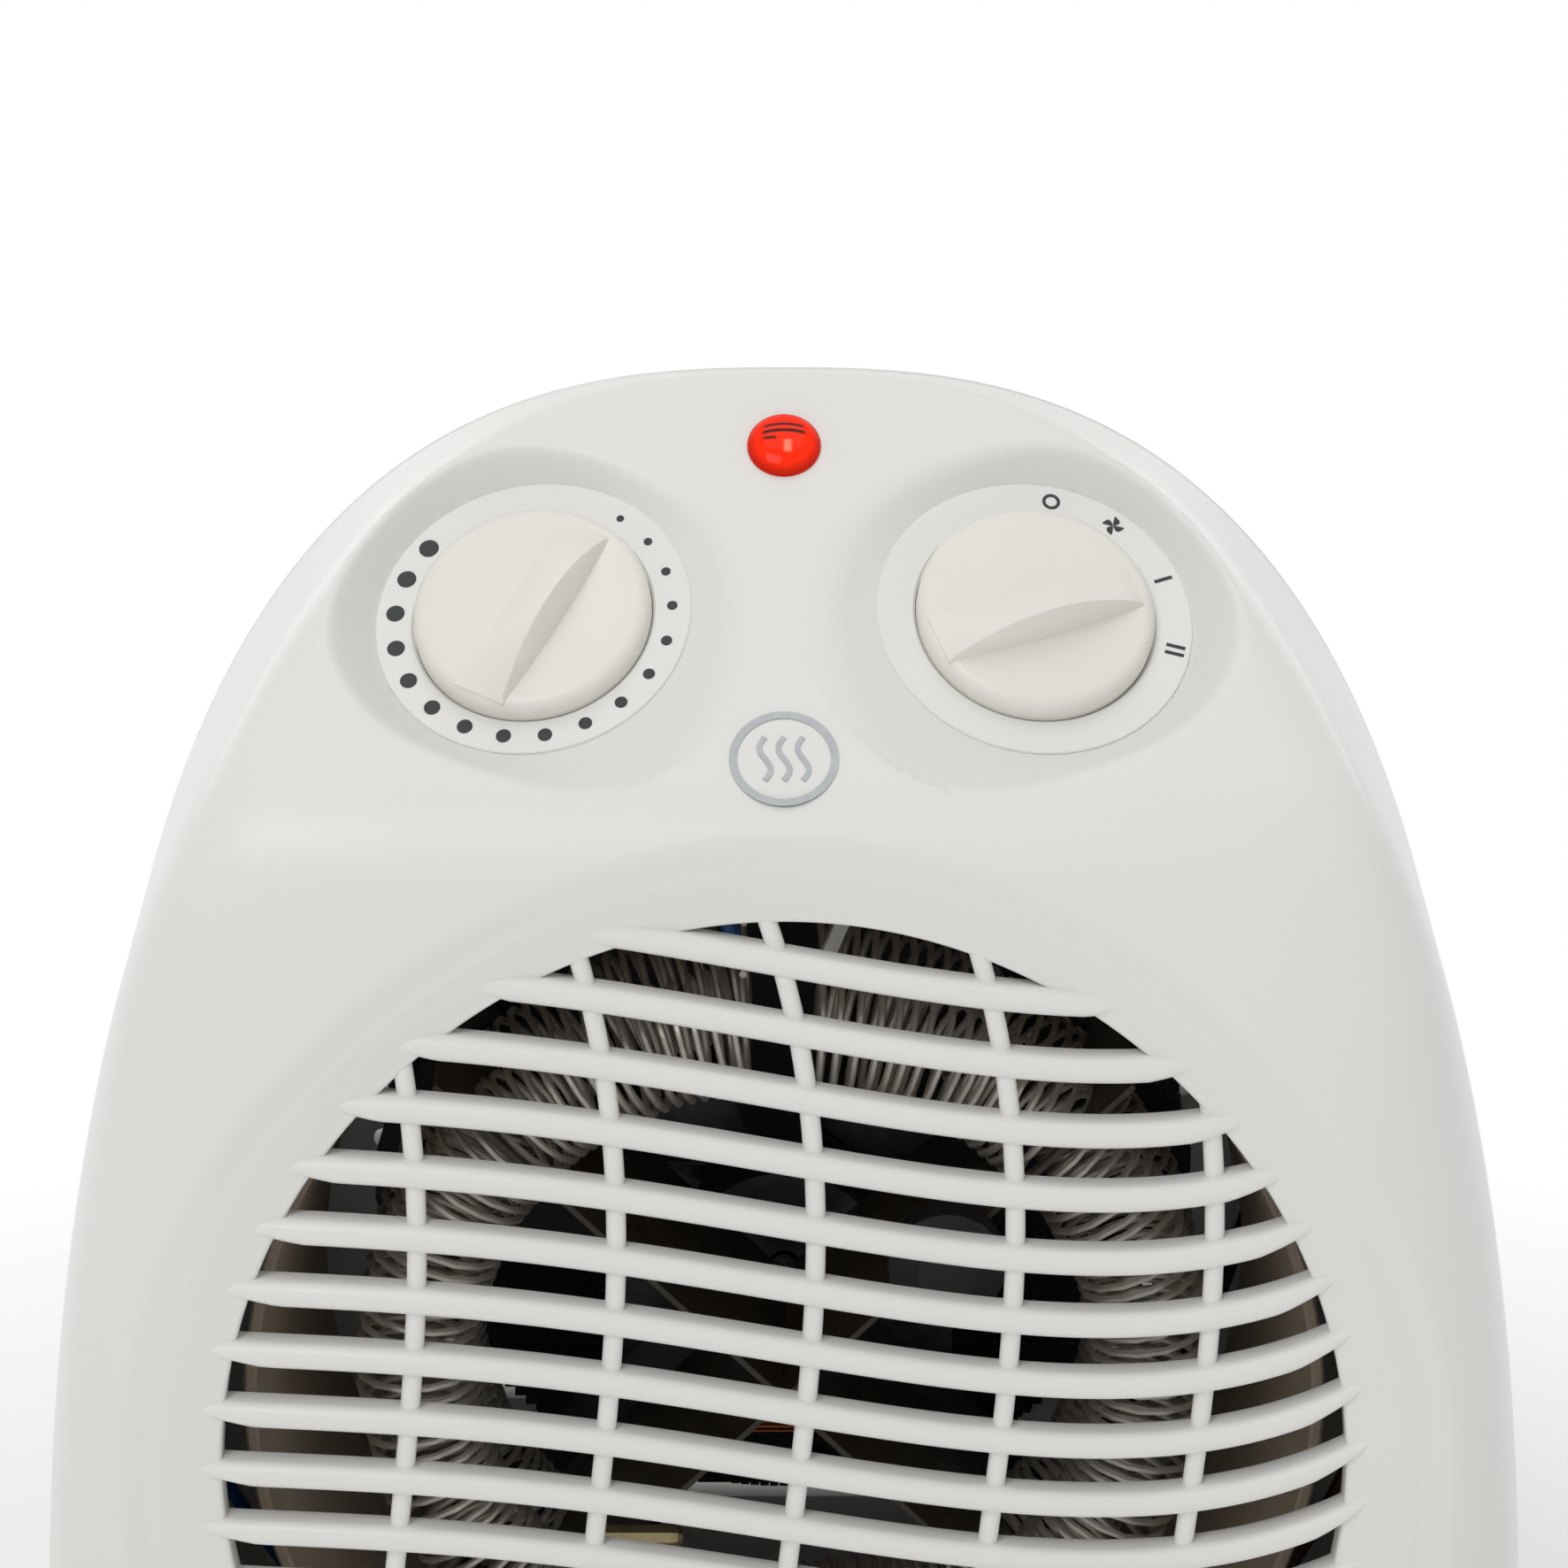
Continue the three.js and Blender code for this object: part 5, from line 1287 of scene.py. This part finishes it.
# %% [markdown]
# The set is plain: one pale sheet as the floor, a bright world, and large soft lamps above and to the left.
# The camera and mirror-like surfaces see the background as white, while the lamps stay at a level where a
# colour renders about as it is written, so the casing keeps its shading and the floor keeps its shadow.

# %% Floor and world
def white_seen_from_camera(tree, shader_output, target):
    """Mixes in plain white for camera, glossy and transmission rays."""
    path = tree.nodes.new("ShaderNodeLightPath").outputs
    either, most = tree.nodes.new("ShaderNodeMath"), tree.nodes.new("ShaderNodeMath")
    either.operation = most.operation = "MAXIMUM"
    white, blend = tree.nodes.new("ShaderNodeBackground"), tree.nodes.new("ShaderNodeMixShader")
    white.inputs["Color"].default_value = (1, 1, 1, 1)
    white.inputs["Strength"].default_value = 1.0
    for start, end in ((path["Is Camera Ray"], either.inputs[0]), (path["Is Glossy Ray"], most.inputs[0]),
                       (path["Is Transmission Ray"], most.inputs[1]), (most.outputs[0], either.inputs[1]),
                       (either.outputs[0], blend.inputs[0]), (shader_output, blend.inputs[1]),
                       (white.outputs[0], blend.inputs[2]), (blend.outputs[0], target)):
        tree.links.new(start, end)


world = bpy.data.worlds.new("studio")
bpy.context.scene.world = world
world.use_nodes = True
background = world.node_tree.nodes["Background"]
background.inputs["Color"].default_value = (1.0, 0.995, 0.985, 1)
background.inputs["Strength"].default_value = 0.38
white_seen_from_camera(world.node_tree, background.outputs[0],
                       world.node_tree.nodes["World Output"].inputs[0])


def floor_finish():
    """A pale matt sheet, seen as white but for a soft shadow round the object: radius is from the origin."""
    f = Finish("pale_floor", roughness=0.9, specular_ior_level=0.2)
    f.set(base_color=tint("f2f2f0"))
    x, y, _ = f.split()
    radius = f.maths("SQRT", x * x + y * y)
    white = f.ramp(radius, 0.13, 0.32)
    glow = f.tree.nodes.new("ShaderNodeEmission")
    blend = f.tree.nodes.new("ShaderNodeMixShader")
    f.tree.links.new(white.socket, blend.inputs[0])
    f.tree.links.new(f.shader.outputs[0], blend.inputs[1])
    f.tree.links.new(glow.outputs[0], blend.inputs[2])
    f.tree.links.new(blend.outputs[0], f.tree.nodes["Material Output"].inputs[0])
    return f.material


def floor_sheet(half=4.0):
    """A flat square just under the feet."""
    mesh = bpy.data.meshes.new("floor")
    corners = [(-half, -half, 0), (half, -half, 0), (half, half, 0), (-half, half, 0)]
    mesh.from_pydata(corners, [], [(0, 1, 2, 3)])
    mesh.materials.append(floor_finish())
    sheet = bpy.data.objects.new("floor", mesh)
    bpy.context.scene.collection.objects.link(sheet)


floor_sheet()
print("world strength", background.inputs["Strength"].default_value)

# %% Lamps
def soft_lamp(name, place, size, watts, colour=(1, 1, 1)):
    """A square area lamp that faces the middle of the heater; place and size are in metres."""
    data = bpy.data.lights.new(name, "AREA")
    data.size, data.energy, data.color = size, watts, colour
    lamp = bpy.data.objects.new(name, data)
    lamp.location = place
    lamp.rotation_euler = (Vector((0, 0, 0.13)) - Vector(place)).to_track_quat("-Z", "Y").to_euler()
    bpy.context.scene.collection.objects.link(lamp)


soft_lamp("key_upper_left", (-0.6, -1.35, 1.8), 0.9, 12.5, (1.0, 0.995, 0.985))
soft_lamp("fill_right", (1.3, -1.2, 0.8), 1.1, 0.4, (0.99, 0.99, 1.0))
soft_lamp("top", (0.0, 0.1, 1.7), 1.2, 6.0)
soft_lamp("back_left", (-1.0, 1.3, 0.9), 1.0, 4.0)
soft_lamp("back_right", (1.0, 1.3, 0.9), 1.0, 4.0)

# %% Camera
camera_data = bpy.data.cameras.new("camera")
camera_data.sensor_width = 36.0
camera_data.lens = 133.3
camera_data.clip_start = 0.05
camera = bpy.data.objects.new("camera", camera_data)
away, rise = 0.772, math.radians(28)
camera.location = (0.0, FRONT * MM - away * math.cos(rise), 0.118 + away * math.sin(rise))
camera.rotation_euler = (math.radians(90 - 21.15), 0, 0)
bpy.context.scene.collection.objects.link(camera)
bpy.context.scene.camera = camera
bpy.context.scene.view_settings.view_transform = "Standard"
print("camera stands at, mm:", [round(v * 1000, 1) for v in camera.location])
